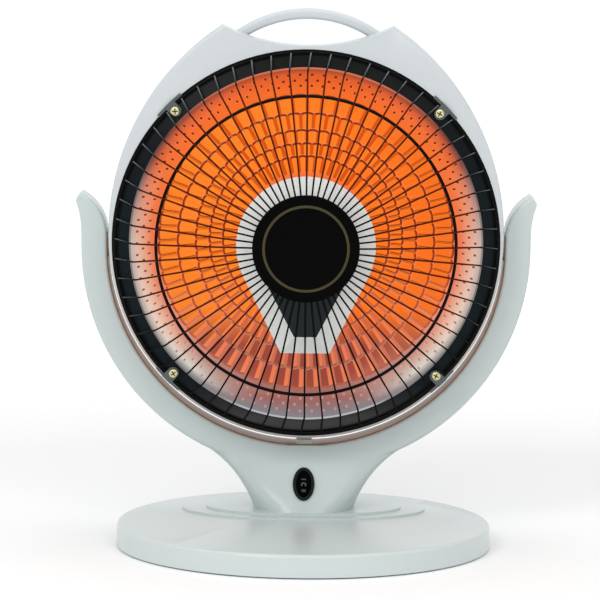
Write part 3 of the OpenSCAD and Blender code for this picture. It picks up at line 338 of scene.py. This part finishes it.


# Zones of the dimpled band's painted reflections, from the inside out: the radii in mm between
# which each takes over from the one before, and its painted colours by height
BAND_ZONES = (
    (None, {0.035: "#95635E", 0.06: "#A16660", 0.14: "#AA807A", 0.27: "#E0917A", 0.5: "#F07A4F",
            0.73: "#F57432", 0.965: "#F56C26"}),
    ((120, 126), {0.035: "#906666", 0.06: "#946460", 0.14: "#C2AEA2", 0.27: "#ECBAA0",
                  0.5: "#E8A688", 0.73: "#F67236", 0.9: "#F66E32", 0.965: "#EC6224"}),
    ((126, 131), {0.035: "#80777A", 0.06: "#907B7D", 0.14: "#D2D2CA", 0.27: "#E8D2C4",
                  0.5: "#DEBAA8", 0.73: "#D06440", 0.9: "#DC6038", 0.965: "#E0602C"}),
    ((131.5, 135), {0.035: "#7A8088", 0.06: "#7E7D80", 0.14: "#8A9092", 0.27: "#B2AAA4",
                    0.5: "#C8B6AE", 0.73: "#8A4A40", 0.9: "#9A4A34", 0.965: "#B44A2A"}),
    ((135.7, 136.2), {0.035: "#B4B9BC", 0.06: "#8A8B90", 0.14: "#6A7072", 0.5: "#8A8480",
                      0.8: "#5A3430", 0.965: "#C8745A"}),
)


def band_tone(tree):
    """The dimpled band, its reflections painted in: orange glow above, silver at the sides, purplish
    grey below.
    """
    height, radius, flat = dish_axes(tree)
    tone = None
    for edge, stops in BAND_ZONES:
        zone = add_node(tree, "ShaderNodeValToRGB", {"Fac": height}, stops)
        tone = fade(tree, radius, edge[0] * MM, edge[1] * MM, tone, zone) if edge else zone
    return tone


def frame_white_painted_glow():
    """White ABS, moulded, painted darker and warmer towards the bottom: the dish's glow and shade
    painted on the frame's thin lip below the guard.
    """
    made, tree, shader = material("moulded white ABS, front frame, painted glow and shade")
    tone = by_height({0.03: "#ACA7A3", 0.14: "#B5ABA1", 0.27: "#BDB2AA", 0.45: "#C4C8C8",
                      0.6: "#CBD1D4"})
    set_inputs(tree, shader, {"Base Color": tone(tree), "Roughness": 0.26, "IOR": 1.54})
    return made


def band_black_painted_sheen():
    """Black polypropylene, moulded: on the band's slope inside 147 mm the bright dish's reflection is
    painted as a grey sheen at the bottom, and its flat outside stays dark."""
    made, tree, shader = material("moulded black polypropylene, guard band, painted sheen")
    height, radius, flat = dish_axes(tree)
    sheen = add_node(tree, "ShaderNodeValToRGB", {"Fac": height},
                     {0.0: "#474645", 0.03: "#323233", 0.1: "#0E171B", 0.6: "#0D171B",
                      0.9: "#0B0E10", 1.0: "#060708"})
    set_inputs(tree, shader, {
        "Base Color": fade(tree, radius, 147 * MM, 145.5 * MM, "#050606", sheen),
        "Roughness": 0.36, "Specular IOR Level": 0.09})
    return made


def gap_white_painted_glow():
    """White ABS, moulded, where it lines the gap round the head: the light of the element behind it
    is painted in as a warm tint, most of all halfway through the gap's depth."""
    made, tree, shader = material("moulded white ABS, painted glow of the element")
    place = add_node(tree, "ShaderNodeTexCoord").outputs["Object"]
    axes = add_node(tree, "ShaderNodeSeparateXYZ", {0: place})
    depth = add_node(tree, "ShaderNodeMapRange", {"Value": axes.outputs["Y"],
                                                  "From Min": head_centre.y + 22 * MM,
                                                  "From Max": head_centre.y + 58 * MM})
    tone = add_node(tree, "ShaderNodeValToRGB", {"Fac": depth},
                    {0.0: "#C79E80", 0.2: "#B88460", 0.6: "#A97252", 1.0: "#B48C70"})
    set_inputs(tree, shader, {"Base Color": tone, "Roughness": 0.4})
    return made


# One white plastic given three tones: the base's, the lightest, is painted lighter to make up for the
# shade on its top
WHITE = moulded_white("moulded white ABS, stand", "#C4CFCE")
BASE_WHITE = moulded_white("moulded white ABS, base, painted lighter", "#CDD7D6")
HEAD_WHITE = moulded_white("moulded white ABS, head", "#CBD1D4")
GAP_PAINTED_GLOW = gap_white_painted_glow()
FRAME_PAINTED_GLOW = frame_white_painted_glow()
BAND_PAINTED_SHEEN = band_black_painted_sheen()
BLACK = moulded_black("moulded black polypropylene", "#070B0D", 0.1)
ROCKER_BLACK = moulded_black("moulded black polycarbonate, rocker", "#010303", 0.015)
ENAMEL = black_enamel("gloss black enamel", 0.07)
CAP_BLACK = black_enamel("gloss black enamel, cap", 0.03)
# The wires over the dish: painted glow, the black given a brown tint for the light behind them
WIRE_PAINTED_GLOW = black_enamel("gloss black enamel, painted glow of the element", 0.05, "#4A1808")
# The bends at the wires' outer ends: a painted grey glint along the top of each
PAINTED_GLINT = plain("gloss black enamel, painted glint on the bend", "#666C6E", 0.3, metallic=0.4,
              grain=1.11 * MM)
# The shield's border, satin polished, with soft reflections: painted pale, a near-white colour for
# the room's bright reflection in it
BRUSHED = plain("satin stainless sheet, painted pale", "#F0F4F1", 0.42, metallic=0.1, grain=2 * MM,
                spread=0.05, strength=0.03)
# The shield's flat face, polished, in the cap's shade: painted shade, a dark clear mirror in place
# of the bright sheet
SHIELD_FACE_PAINTED_DARK = plain("polished sheet, painted dark", "#1E2426", 0.2, metallic=0.9, grain=3.33 * MM,
                    spread=0.03, strength=0.02)
# Thin metallic print, dull and dark against the enamel
GOLD = plain("gold print", "#3F3818", 0.45, metallic=0.5, grain=1.11 * MM, spread=0.05,
             strength=0.05)
# The guard's screws, passivated: bright with a yellow cast
BRASSY = plain("yellow-passivated steel", "#CFCB9C", 0.28, metallic=1.0, grain=1.11 * MM,
               spread=0.06, strength=0.05)
# The cross in a screw's head: painted shade, made dark for the shade in it
RECESS = plain("screw recess, painted shade", "#14150E", 0.5, grain=1.11 * MM)
# Pressed spring steel, oiled: a dull grey metal
CLIP_STEEL = plain("grey steel clip", "#5A6060", 0.35, metallic=0.8, grain=2 * MM, spread=0.08)
# The rocker's marks: a matt grey ink
MARKING = plain("grey pad print", "#454646", 0.5, grain=1.11 * MM)
ZINC = zinc_plate()
# Moulded feet: matt black, without highlights
RUBBER = plain("black rubber", "#1C1C1C", 0.75)
# The stop pad, moulded: matt pale grey
GREY_RUBBER = plain("grey rubber", "#C4C5C2", 0.6)
# Sand cast: dark, with a rough 3 mm skin
IRON = plain("cast iron", "#3A3A3C", 0.6, metallic=0.6, grain=3.33 * MM, strength=0.5)
# Moulded, undyed: cream with a waxy sheen
NYLON = plain("natural nylon", "#D9D4C8", 0.45)
# Moulded, dyed: plain red
RED = plain("red nylon", "#B3241C", 0.4)
# Fired and glazed: off-white with clear highlights
CERAMIC = plain("glazed steatite", "#E9E6DE", 0.3)
# Compression moulded: nearly black, half matt
PHENOLIC = plain("phenolic plastic", "#202022", 0.5)
# The back of the pressed sheet: dull grey metal
BARE = plain("bare aluminium sheet", "#A8A9A8", 0.38, metallic=0.9, grain=2.38 * MM)
QUARTZ = glowing("quartz tube at working heat", "#FF8A3C", 1.6)
FILAMENT = glowing("carbon filament at working heat", "#FFB066", 3.0)

# The dish's finishes, with the element's glow and its shade painted in, and the numbers of their
# slots in its mesh
DISH_FINISHES = (
    # the narrow grooves between the bricks, painted as catching the light: a painted highlight
    pressed_metal_painted_glow("pressed aluminium, grooves, painted glow", by_height(
        {0.18: "#B4725F", 0.36: "#E07C54", 0.5: "#F07238", 0.9: "#F47C46"})),
    pressed_metal_painted_glow("pressed aluminium, brick tops, painted glow", top_tone),
    pressed_metal_painted_glow("pressed aluminium, brick sides, painted glow and shade", side_tone),
    # the bricks' arched ends: a painted shadow line above, a painted highlight below
    pressed_metal_painted_glow("pressed aluminium, brick ends, painted shadow line", by_height(
        {0.2: "#A8604C", 0.36: "#B84A24", 0.48: "#8A3010", 0.7: "#7C2C0C"})),
    pressed_metal_painted_glow("pressed aluminium, outer band, painted reflections", band_tone),
    # the dimples' hollows, painted dark as shade
    pressed_metal_painted_glow("pressed aluminium, dimples, painted shade", by_height(
        {0.1: "#B88C88", 0.25: "#B48478", 0.4: "#8A5048", 0.5: "#8A4034", 0.7: "#6A1E08"})),
    # the dimples' lower lips, which face the element, painted light as its glow
    pressed_metal_painted_glow("pressed aluminium, dimple lips, painted highlight", by_height(
        {0.05: "#E8C4BC", 0.2: "#F4E0D4", 0.35: "#F2C8B0", 0.5: "#F5A882", 0.7: "#FF9A5C"})),
    BARE,
)
GROOVE, TOP, SIDE, END, BAND, PIT, LIP, BACK = range(len(DISH_FINISHES))

dress(BLACK, "cord_gland", "switch_housing")
dress(BAND_PAINTED_SHEEN, "trim_band")
dress(ROCKER_BLACK, "switch_rocker")
dress(ENAMEL, "guard_outer_ring", "guard_middle_ring")
dress(CAP_BLACK, "guard_cap", "guard_hub_plate")
dress(ZINC, "base_plate", "base_screws", "yoke_screws", "neck_screws", "handle_screws",
      "guard_screws", "cap_screw", "pivot_pin_left", "pivot_pin_right", "pivot_washers",
      "pivot_nuts", "element_brackets", "shield_posts")
dress(CLIP_STEEL, "guard_clips")
dress(BRUSHED, "element_shield")
dress(RUBBER, "base_feet")
dress(GREY_RUBBER, "stop_pad")
dress(IRON, "base_weight")
dress(NYLON, "pivot_bush_left", "pivot_bush_right", "tip_switch_body")
dress(RED, "tip_plunger")
dress(CERAMIC, "element_end_caps", "terminal_block")
dress(PHENOLIC, "thermal_cutout")
dress(QUARTZ, "element_tube")
dress(FILAMENT, "element_filament")
dress(DISH_FINISHES[TOP], "reflector")


# ---------------------------------------------------------------- white shells

GAP_R = (148 * MM, 158.5 * MM)   # the gap between head and yoke, from the tilt's axis
GAP_TOP = 12 * MM                # how far over that axis the gap's lining gets the painted warm glow


def faces_the_gap(face):
    """Whether a face of a shell lines the gap between the head and the yoke."""
    out = Vector((face.center.x, 0, face.center.z - pivot_z))
    if face.center.z > pivot_z + GAP_TOP or not GAP_R[0] < out.length < GAP_R[1]:
        return False
    return abs(face.normal.dot(out.normalized())) > 0.7


SHELLS = {"yoke_front": WHITE, "yoke_rear": WHITE, "base_cover": BASE_WHITE,
          "front_frame": FRAME_PAINTED_GLOW, "rear_cover": HEAD_WHITE, "carry_handle": HEAD_WHITE}
for shell, finish in SHELLS.items():
    skin = smoothed(shell)
    coat(skin, finish)
    if shell in ("yoke_front", "yoke_rear"):
        # the faces that line the gap get the painted glow
        coat(skin, finish, GAP_PAINTED_GLOW)
        for face in skin.data.polygons:
            face.material_index = 1 if faces_the_gap(face) else 0
    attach(skin, "head" if shell in ("front_frame", "rear_cover", "carry_handle") else "base")
    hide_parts(shell)


# ---------------------------------------------------------------- element shield

shield = smoothed("element_shield", 20)
coat(shield, BRUSHED, SHIELD_FACE_PAINTED_DARK)
face_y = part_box("element_shield")[0].y
for face in shield.data.polygons:
    in_front = face.normal.y < -0.95 and abs(face.center.y - face_y) < 0.3 * MM
    # the flat face gets the painted shade
    face.material_index = 1 if in_front else 0
fold = shield.modifiers.new("folds", "BEVEL")
fold.width = 0.35 * MM
fold.segments = 2
fold.limit_method = "ANGLE"
fold.angle_limit = math.radians(18)
only(shield)
bpy.ops.object.modifier_apply(modifier="folds")
bpy.ops.object.shade_smooth_by_angle(angle=math.radians(20))
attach(shield, "head")
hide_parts("element_shield")


# ---------------------------------------------------------------- guard's wires

LEG_R = 140.5 * MM               # outside this the wires bend back over the black band
GLOW_R = 134 * MM                # inside this the dish's glow is painted on them
GLOW_LOW = -70 * MM              # and above this, from the head's axis
SHIELD_R = 57 * MM               # over the shield and
TONGUE_HALF = 30 * MM            # its tongue they stay black

wires = smoothed("guard_spokes", 40)
coat(wires, ENAMEL, PAINTED_GLINT, WIRE_PAINTED_GLOW)
for face in wires.data.polygons:
    across, up = face.center.x - head_centre.x, face.center.z - head_centre.z
    from_axis = math.hypot(across, up)
    over_shield = from_axis < SHIELD_R or abs(across) < TONGUE_HALF and up < 0
    # a painted glint on the bends that face up
    lit = from_axis > LEG_R and up > GLOW_LOW and face.normal.z > 0.2
    # the painted glow on the wires in front of the lit dish
    warm = from_axis < GLOW_R and up > GLOW_LOW and not over_shield
    face.material_index = 1 if lit else 2 if warm else 0
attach(wires, "head")
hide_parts("guard_spokes")


# ---------------------------------------------------------------- guard's cap ring and screws

def printed_ring(name, steps, radius, width, height, place):
    """A flat ring of print, its lower face's middle at place."""
    bpy.ops.object.select_all(action="DESELECT")
    bpy.ops.mesh.primitive_circle_add(vertices=steps, radius=radius, fill_type="NGON",
                                      location=(0, 0, 0), rotation=(0, 0, 0))
    ring = bpy.context.object
    ring.name = name
    only(ring)
    bpy.ops.object.mode_set(mode="EDIT")
    bpy.ops.mesh.select_all(action="SELECT")
    bpy.ops.transform.translate(value=place)
    bpy.ops.mesh.inset(thickness=width, depth=0)
    bpy.ops.mesh.delete(type="FACE")
    bpy.ops.mesh.select_all(action="SELECT")
    bpy.ops.mesh.extrude_region_move(TRANSFORM_OT_translate={"value": (0, 0, height)})
    bpy.ops.mesh.select_all(action="SELECT")
    bpy.ops.mesh.normals_make_consistent(inside=False)
    bpy.ops.object.mode_set(mode="OBJECT")
    return ring


def box_at(size, place):
    """A plain block, to cut with or to shape further."""
    bpy.ops.object.select_all(action="DESELECT")
    bpy.ops.mesh.primitive_cube_add(size=1, location=place)
    made = bpy.context.object
    bpy.ops.transform.resize(value=size)
    bpy.ops.object.transform_apply(location=True, rotation=True, scale=True)
    return made


SCREW_R, SCREW_H = 3.75 * MM, 2.4 * MM       # head
CROSS_LONG, CROSS_WIDE = 4.4 * MM, 0.9 * MM  # recess, half of SCREW_H deep
SHANK_R, SHANK_LONG = 1.4 * MM, 20 * MM


def guard_screw():
    """One pan-head screw with a cross recess, at the origin, its head on z = 0."""
    bpy.ops.object.select_all(action="DESELECT")
    bpy.ops.mesh.primitive_cylinder_add(vertices=48, radius=SCREW_R, depth=SCREW_H,
                                        location=(0, 0, SCREW_H / 2))
    screw = bpy.context.object
    bpy.ops.object.transform_apply(location=True, rotation=True, scale=True)
    rim = [v.index for v in screw.data.vertices if v.co.z > SCREW_H * 0.9]
    select(screw, "EDGE", lambda e: all(v in rim for v in e.vertices))
    bpy.ops.mesh.bevel(offset=1.5 * MM, segments=5, profile=0.55)
    bpy.ops.object.mode_set(mode="OBJECT")
    for wide, long in ((CROSS_WIDE, CROSS_LONG), (CROSS_LONG, CROSS_WIDE)):
        blade = box_at((wide, long, SCREW_H), (0, 0, SCREW_H))
        only(screw)
        cut = screw.modifiers.new("cross", "BOOLEAN")
        cut.operation = "DIFFERENCE"
        cut.object = blade
        bpy.ops.object.modifier_apply(modifier="cross")
        bpy.data.objects.remove(blade, do_unlink=True)
    # the shank's top ends just inside the head
    bpy.ops.mesh.primitive_cylinder_add(vertices=24, radius=SHANK_R, depth=SHANK_LONG,
                                        location=(0, 0, 0.1 * MM - SHANK_LONG / 2))
    shank = bpy.context.object
    bpy.ops.object.transform_apply(location=True, rotation=True, scale=True)
    only(screw)
    shank.select_set(True)
    bpy.ops.object.join()
    bpy.ops.object.shade_smooth_by_angle(angle=math.radians(35))
    coat(screw, BRASSY, RECESS)
    for face in screw.data.polygons:
        from_axis = math.hypot(face.center.x, face.center.y)
        below_top = 0.5 * MM < face.center.z < SCREW_H - 0.05 * MM
        # the recess gets the painted shade
        if from_axis < 2.3 * MM and below_top:
            face.material_index = 1
    return screw


# The gold ring is printed on the cap's recessed face
cap_seat = head_centre.y - cap_low.y - 0.5 * MM
ring = printed_ring("cap_ring", 144, 33.6 * MM, 2 * MM, 0.08 * MM, (0, 0, cap_seat - 0.02 * MM))
coat(ring, GOLD)
place_in_head(ring)
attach(ring, "head")

# Four screws, each stopped at its own turn
CLIP_RING = 144.6 * MM
screw_seat = head_centre.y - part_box("guard_screws")[0].y - SCREW_H
first = guard_screw()
screws = [first]
for quarter in range(1, 4):
    screw = first.copy()
    screw.data = first.data.copy()
    bpy.context.scene.collection.objects.link(screw)
    screws.append(screw)
for quarter, screw in enumerate(screws):
    place = (Matrix.Rotation(math.radians(45 + 90 * quarter), 4, "Z")
             @ Matrix.Translation((CLIP_RING, 0, screw_seat)))
    turn = Matrix.Rotation(math.radians(17 + 31 * quarter), 4, "Z")
    screw.data.transform(TO_HEAD @ place @ turn)
    screw.name = f"guard_screw_{quarter + 1}"
    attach(screw, "head")
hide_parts("guard_screws")


# ---------------------------------------------------------------- switch marks

SWITCH_AT = (0, 31.224 * MM, 42.2 * MM)      # middle of the bezel's seat
SWITCH_LEAN = 26.009                         # degrees that the seat leans back
BAR_WIDE, RING_OUT, RING_WIDE = 3.5 * MM, 2.1 * MM, 0.95 * MM
RING_UP = -0.8 * MM                          # place of the ring along the rocker
BARS = {3.7 * MM: 0.9 * MM, -5.0 * MM: 0.8 * MM, -6.3 * MM: 0.8 * MM}    # place: height
MARK_DEEP = 0.5 * MM                         # most of it is sunk in the rocker


def rocker_face(y):
    """Height of the rocker's dished face over its seat, y above its middle."""
    return 1.7 * MM + abs(y) / (11 * MM) * 1.2 * MM


def switch_marks():
    """The marks printed down the rocker: one bar, a ring and two bars."""
    marks = []
    for y, tall in BARS.items():
        mark = box_at((BAR_WIDE, tall, MARK_DEEP), (0, y, rocker_face(y) - 0.15 * MM))
        marks.append(mark)
        select(mark, "EDGE",
               lambda e: all(mark.data.vertices[i].co.z > rocker_face(y) for i in e.vertices))
        bpy.ops.mesh.bevel(offset=0.1 * MM, segments=1)
        bpy.ops.object.mode_set(mode="OBJECT")
    ring = printed_ring("switch_marks", 48, RING_OUT, RING_WIDE, MARK_DEEP,
                        (0, RING_UP, rocker_face(RING_UP) - 0.4 * MM))
    for mark in marks:
        mark.select_set(True)
    bpy.ops.object.join()
    coat(ring, MARKING)
    ring.data.transform(Matrix.Translation(SWITCH_AT)
                        @ Matrix.Rotation(math.radians(90 - SWITCH_LEAN), 4, "X"))
    return ring


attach(switch_marks(), "rocker")


# ---------------------------------------------------------------- pressed dish

SEGMENTS = 360
BRICK = 6                        # segments in one brick: sixty bricks a row
DISH_DEEP, DISH_AHEAD = 51 * MM, 5 * MM
HOLE_R = 20 * MM
ROW_R = [r * MM for r in (51.7, 64.8, 75.3, 86, 99.8, 114.5)]
DIMPLE_ROWS = {120.6: 123.4, 125: 127.8, 129.6: 132.4}     # cells that hold a dimple, in mm
ARCH = 1.3 * MM                  # how far a brick's outer end bulges
STEP = 1.4 * MM                  # how wide the sloping edge at a brick's end is
SHEET = 0.6 * MM                 # the metal's thickness


def dish_z(r):
    """Height of the dish at a radius, ahead of the head's front face."""
    return DISH_AHEAD - DISH_DEEP * (1 - (r / DISH_R) ** 2)


def angle_step(point):
    """The segment at whose start a point of the dish lies."""
    return round(math.degrees(math.atan2(point.y, point.x)) * SEGMENTS / 360) % SEGMENTS


def turn_of(point):
    """The angle of a point of the dish, in bricks."""
    return math.degrees(math.atan2(point.y, point.x)) * SEGMENTS / 360 / BRICK


def row_edge(number, turn):
    """Radius of the outer edge of the row before: it is arched over each of that row's bricks."""
    if number == 0:
        return ROW_R[0]
    part = (turn + 0.5 * ((number - 1) % 2)) % 1
    return ROW_R[number] + ARCH * math.sin(math.pi * part) ** 0.6


def paint_bricks(mesh):
    """Gives each face of the dish its zone's finish, and each corner two values for the painted
    tones: its place across its brick, from -1 to 1, and how far the face looks up, which sets the
    painted shade and highlight on the bricks' sides."""
    for name in ("across", "facing"):
        mesh.attributes.new(name, "FLOAT", "CORNER")
    across, facing = mesh.attributes["across"], mesh.attributes["facing"]
    last = len(ROW_R) - 1
    bricks = SEGMENTS // BRICK
    for face in mesh.polygons:
        r = math.hypot(face.center.x, face.center.y)
        turn = turn_of(face.center)
        row = sum(r > row_edge(number, turn) for number in range(last + 1)) - 1
        if row < 0 or row == last:
            face.material_index = BAND
            continue
        level = Vector((-2 * DISH_DEEP * face.center.x / DISH_R ** 2,
                        -2 * DISH_DEEP * face.center.y / DISH_R ** 2, 1))
        face.material_index = TOP if face.select else GROOVE
        if math.degrees(face.normal.angle(level)) > 20:
            at_end = row_edge(row + 1, turn) - r < STEP
            at_start = r - row_edge(row, turn) < STEP
            face.material_index = END if at_end else GROOVE if at_start else SIDE
        brick = turn + 0.5 * (row % 2)
        around = Vector((-face.center.y, face.center.x, 0)) / r
        lean = math.copysign(1, face.normal.dot(around)) * around.y
        for corner in face.loop_indices:
            facing.data[corner].value = lean
            point = mesh.vertices[mesh.loops[corner].vertex_index].co
            gap = turn_of(point) + 0.5 * (row % 2) - math.floor(brick) - 0.5
            gap = (gap + bricks / 2) % bricks - bricks / 2
            across.data[corner].value = max(-1.0, min(1.0, 2 * gap))


def press_dimples(dish, number, low, high):
    """Presses a row of small round dimples into the band, one in every fourth segment."""
    mesh = dish.data

    def pitted(f):
        r = math.hypot(f.center.x, f.center.y)
        turn = math.degrees(math.atan2(f.center.y, f.center.x)) - 0.5
        return low < r < high and round(turn + 2 * (number % 2)) % 4 == 0

    select(dish, "FACE", pitted)
    bpy.ops.mesh.select_mode(type="VERT")
    bpy.ops.mesh.bevel(offset=0.55 * MM, affect="VERTICES")
    select(dish, "FACE", lambda f: pitted(f) and len(f.vertices) == 8)
    bpy.ops.mesh.inset(use_individual=True, thickness=0.1 * MM, depth=-0.1 * MM)
    bpy.ops.mesh.inset(use_individual=True, thickness=0.3 * MM, depth=-0.7 * MM)
    bpy.ops.object.mode_set(mode="OBJECT")
    floors = [f.center.copy() for f in mesh.polygons if f.select]
    for face in mesh.polygons:
        if low - MM < math.hypot(face.center.x, face.center.y) < high + MM:
            off = min((face.center - floor for floor in floors), key=lambda gap: gap.length)
            if off.length < 1.25 * MM:
                # painted shade in each dimple's hollow, and a painted highlight on its lower lip
                face.material_index = LIP if off.y < -0.35 * MM else PIT


def pressed_dish():
    """The dish of thin sheet, with its rows of pressed bricks and its dimpled band."""
    radii = [HOLE_R, 30 * MM, 42 * MM] + ROW_R + [118.4 * MM]
    radii += sorted(r * MM for pair in DIMPLE_ROWS.items() for r in pair)
    radii += [134.2 * MM, 136 * MM, DISH_R]
    bpy.ops.object.select_all(action="DESELECT")
    bpy.ops.mesh.primitive_circle_add(vertices=SEGMENTS, radius=radii[0], location=(0, 0, 0),
                                      rotation=(0, 0, 0))
    dish = bpy.context.object
    dish.name = "pressed_dish"
    only(dish)
    bpy.ops.object.mode_set(mode="EDIT")
    bpy.ops.mesh.select_all(action="SELECT")
    bpy.ops.transform.translate(value=(0, 0, dish_z(radii[0])))
    for before, after in zip(radii, radii[1:]):
        rise = dish_z(after) - dish_z(before)
        bpy.ops.mesh.extrude_edges_move(TRANSFORM_OT_translate={"value": (0, 0, rise)})
        bpy.ops.transform.resize(value=(after / before, after / before, 1))
    bpy.ops.mesh.select_all(action="SELECT")
    bpy.ops.object.mode_set(mode="OBJECT")
    if dish.data.polygons[0].normal.z < 0:
        bpy.ops.object.mode_set(mode="EDIT")
        bpy.ops.mesh.flip_normals()

    # the bricks' ends are arched: each ring between two rows is scalloped by the row inside it
    rows = [radii.index(r) for r in ROW_R]
    for q, ring in enumerate(rows[1:]):
        for j in range(1, BRICK):
            swell = 1 + ARCH * math.sin(math.pi * j / BRICK) ** 0.6 / radii[ring]
            shift = (BRICK // 2) * (q % 2)
            select(dish, "VERT", lambda v: (
                abs(math.hypot(v.co.x, v.co.y) - radii[ring]) < 0.01 * MM
                and (angle_step(v.co) + shift) % BRICK == j))
            bpy.ops.transform.resize(value=(swell, swell, 1))

    # the edges inside a brick are taken out, which leaves one face a brick
    mesh = dish.data

    def ring_of(point):
        r = math.hypot(point.x, point.y)
        return min(range(len(radii)), key=lambda i: abs(radii[i] - r))

    def inside_brick(e):
        a, b = (mesh.vertices[i].co for i in e.vertices)
        if angle_step(a) != angle_step(b):
            return False
        low, high = sorted((ring_of(a), ring_of(b)))
        if low not in rows[:-1] or high != low + 1:
            return False
        shift = (BRICK // 2) * (rows.index(low) % 2)
        return (angle_step(a) + shift) % BRICK != 0

    select(dish, "EDGE", inside_brick)
    bpy.ops.mesh.dissolve_edges(use_verts=False)
    # each brick is a flat tile that stands a little proud, inside a groove
    select(dish, "FACE", lambda f: len(f.vertices) > 8)
    bpy.ops.mesh.inset(use_individual=True, thickness=0.4 * MM, depth=-0.25 * MM)
    bpy.ops.mesh.inset(use_individual=True, thickness=0.95 * MM, depth=1.25 * MM)
    bpy.ops.object.mode_set(mode="OBJECT")
    coat(dish, *DISH_FINISHES)
    paint_bricks(mesh)
    for number, (low, high) in enumerate(sorted(DIMPLE_ROWS.items())):
        press_dimples(dish, number, low * MM, high * MM)
    wall = dish.modifiers.new("sheet", "SOLIDIFY")
    wall.thickness = SHEET
    wall.offset = -1
    wall.material_offset = BACK  # the back of the sheet is bare
    bpy.ops.object.modifier_apply(modifier="sheet")
    bpy.ops.object.shade_smooth_by_angle(angle=math.radians(28))
    place_in_head(dish)
    return dish


dish = pressed_dish()
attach(dish, "head")
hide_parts("reflector")


# ---------------------------------------------------------------- stage, light and camera

ROOM = 0.65                      # the room's own light; backdrop and floor are seen as white


def seen_ray(tree):
    """1 for a ray that the camera, a gloss or a clear piece sends out, 0 for the room's light."""
    path = add_node(tree, "ShaderNodeLightPath")
    seen = path.outputs["Is Camera Ray"]
    for kind in ("Is Glossy Ray", "Is Transmission Ray"):
        seen = add_node(tree, "ShaderNodeMath", {0: seen, 1: path.outputs[kind]},
                        operation="MAXIMUM")
    return seen


def floor_finish():
    """White paper, matt with a fine tooth: it takes the heater's soft shadow, and further off it
    is lifted to the backdrop's white."""
    made, tree, shader = material("white paper")
    place = add_node(tree, "ShaderNodeTexCoord").outputs["Object"]
    tooth = add_node(tree, "ShaderNodeTexNoise", {"Vector": place, "Scale": 1 / (2.5 * MM)})
    bump = add_node(tree, "ShaderNodeBump",
                    {"Height": tooth, "Strength": 0.02, "Distance": 0.1 * MM})
    away = add_node(tree, "ShaderNodeVectorMath", {0: place}, operation="LENGTH")
    lift = add_node(tree, "ShaderNodeMapRange", {"Value": away.outputs["Value"], "From Min": 0.5,
                                                 "From Max": 1.6, "To Max": 1.0 - ROOM})
    seen = add_node(tree, "ShaderNodeMath", {0: lift, 1: seen_ray(tree)}, operation="MULTIPLY")
    set_inputs(tree, shader, {"Base Color": "#FFFFFF", "Roughness": 0.9, "Normal": bump,
                              "Emission Color": "#FFFFFF", "Emission Strength": seen})
    return made


bpy.ops.object.select_all(action="DESELECT")
bpy.ops.mesh.primitive_plane_add(size=40, location=(0, 0, 0))
floor = bpy.context.object
floor.name = "floor"
coat(floor, floor_finish())

world = bpy.data.worlds.new("studio")
bpy.context.scene.world = world
world.use_nodes = True
room = world.node_tree
room.nodes.clear()
power = add_node(room, "ShaderNodeMapRange", {"Value": seen_ray(room), "To Min": ROOM, "To Max": 1.0})
white = add_node(room, "ShaderNodeBackground", {"Color": "#FFFFFF", "Strength": power})
add_node(room, "ShaderNodeOutputWorld", {"Surface": white})


def softbox(name, place, aim, size, watts):
    """A soft lamp at a place, turned to what it aims at."""
    lamp = bpy.data.lights.new(name, "AREA")
    lamp.shape = "RECTANGLE"
    lamp.size, lamp.size_y = size
    lamp.energy = watts
    made = bpy.data.objects.new(name, lamp)
    made.location = place
    made.rotation_euler = (Vector(aim) - Vector(place)).to_track_quat("-Z", "Y").to_euler()
    bpy.context.scene.collection.objects.link(made)


MIDDLE, STAND = (0, 0, 0.22), (0, 0, 0.1)
softbox("key", (-1.0, -1.7, 1.6), MIDDLE, (0.9, 0.9), 12)
softbox("front", (0.6, -2.1, 1.7), STAND, (1.6, 1.2), 10)
softbox("top", (0.1, 0.2, 1.9), MIDDLE, (1.6, 1.2), 8)

# A long lens well in front of the heater and a little above it; its angles are in radians
YAW, DOWN, ROLL = 0.0012, 0.1219, 0.0098
lens = bpy.data.cameras.new("camera")
lens.sensor_width = 36
lens.lens = 249.06
lens.clip_end = 100
camera = bpy.data.objects.new("camera", lens)
bpy.context.scene.collection.objects.link(camera)
camera.location = (-0.0004, -3.19, 0.583)
camera.rotation_euler = (Matrix.Rotation(YAW, 4, "Z")
                         @ Matrix.Rotation(math.radians(90) - DOWN, 4, "X")
                         @ Matrix.Rotation(ROLL, 4, "Z")).to_euler()
bpy.context.scene.camera = camera
bpy.context.scene.view_settings.view_transform = "Standard"
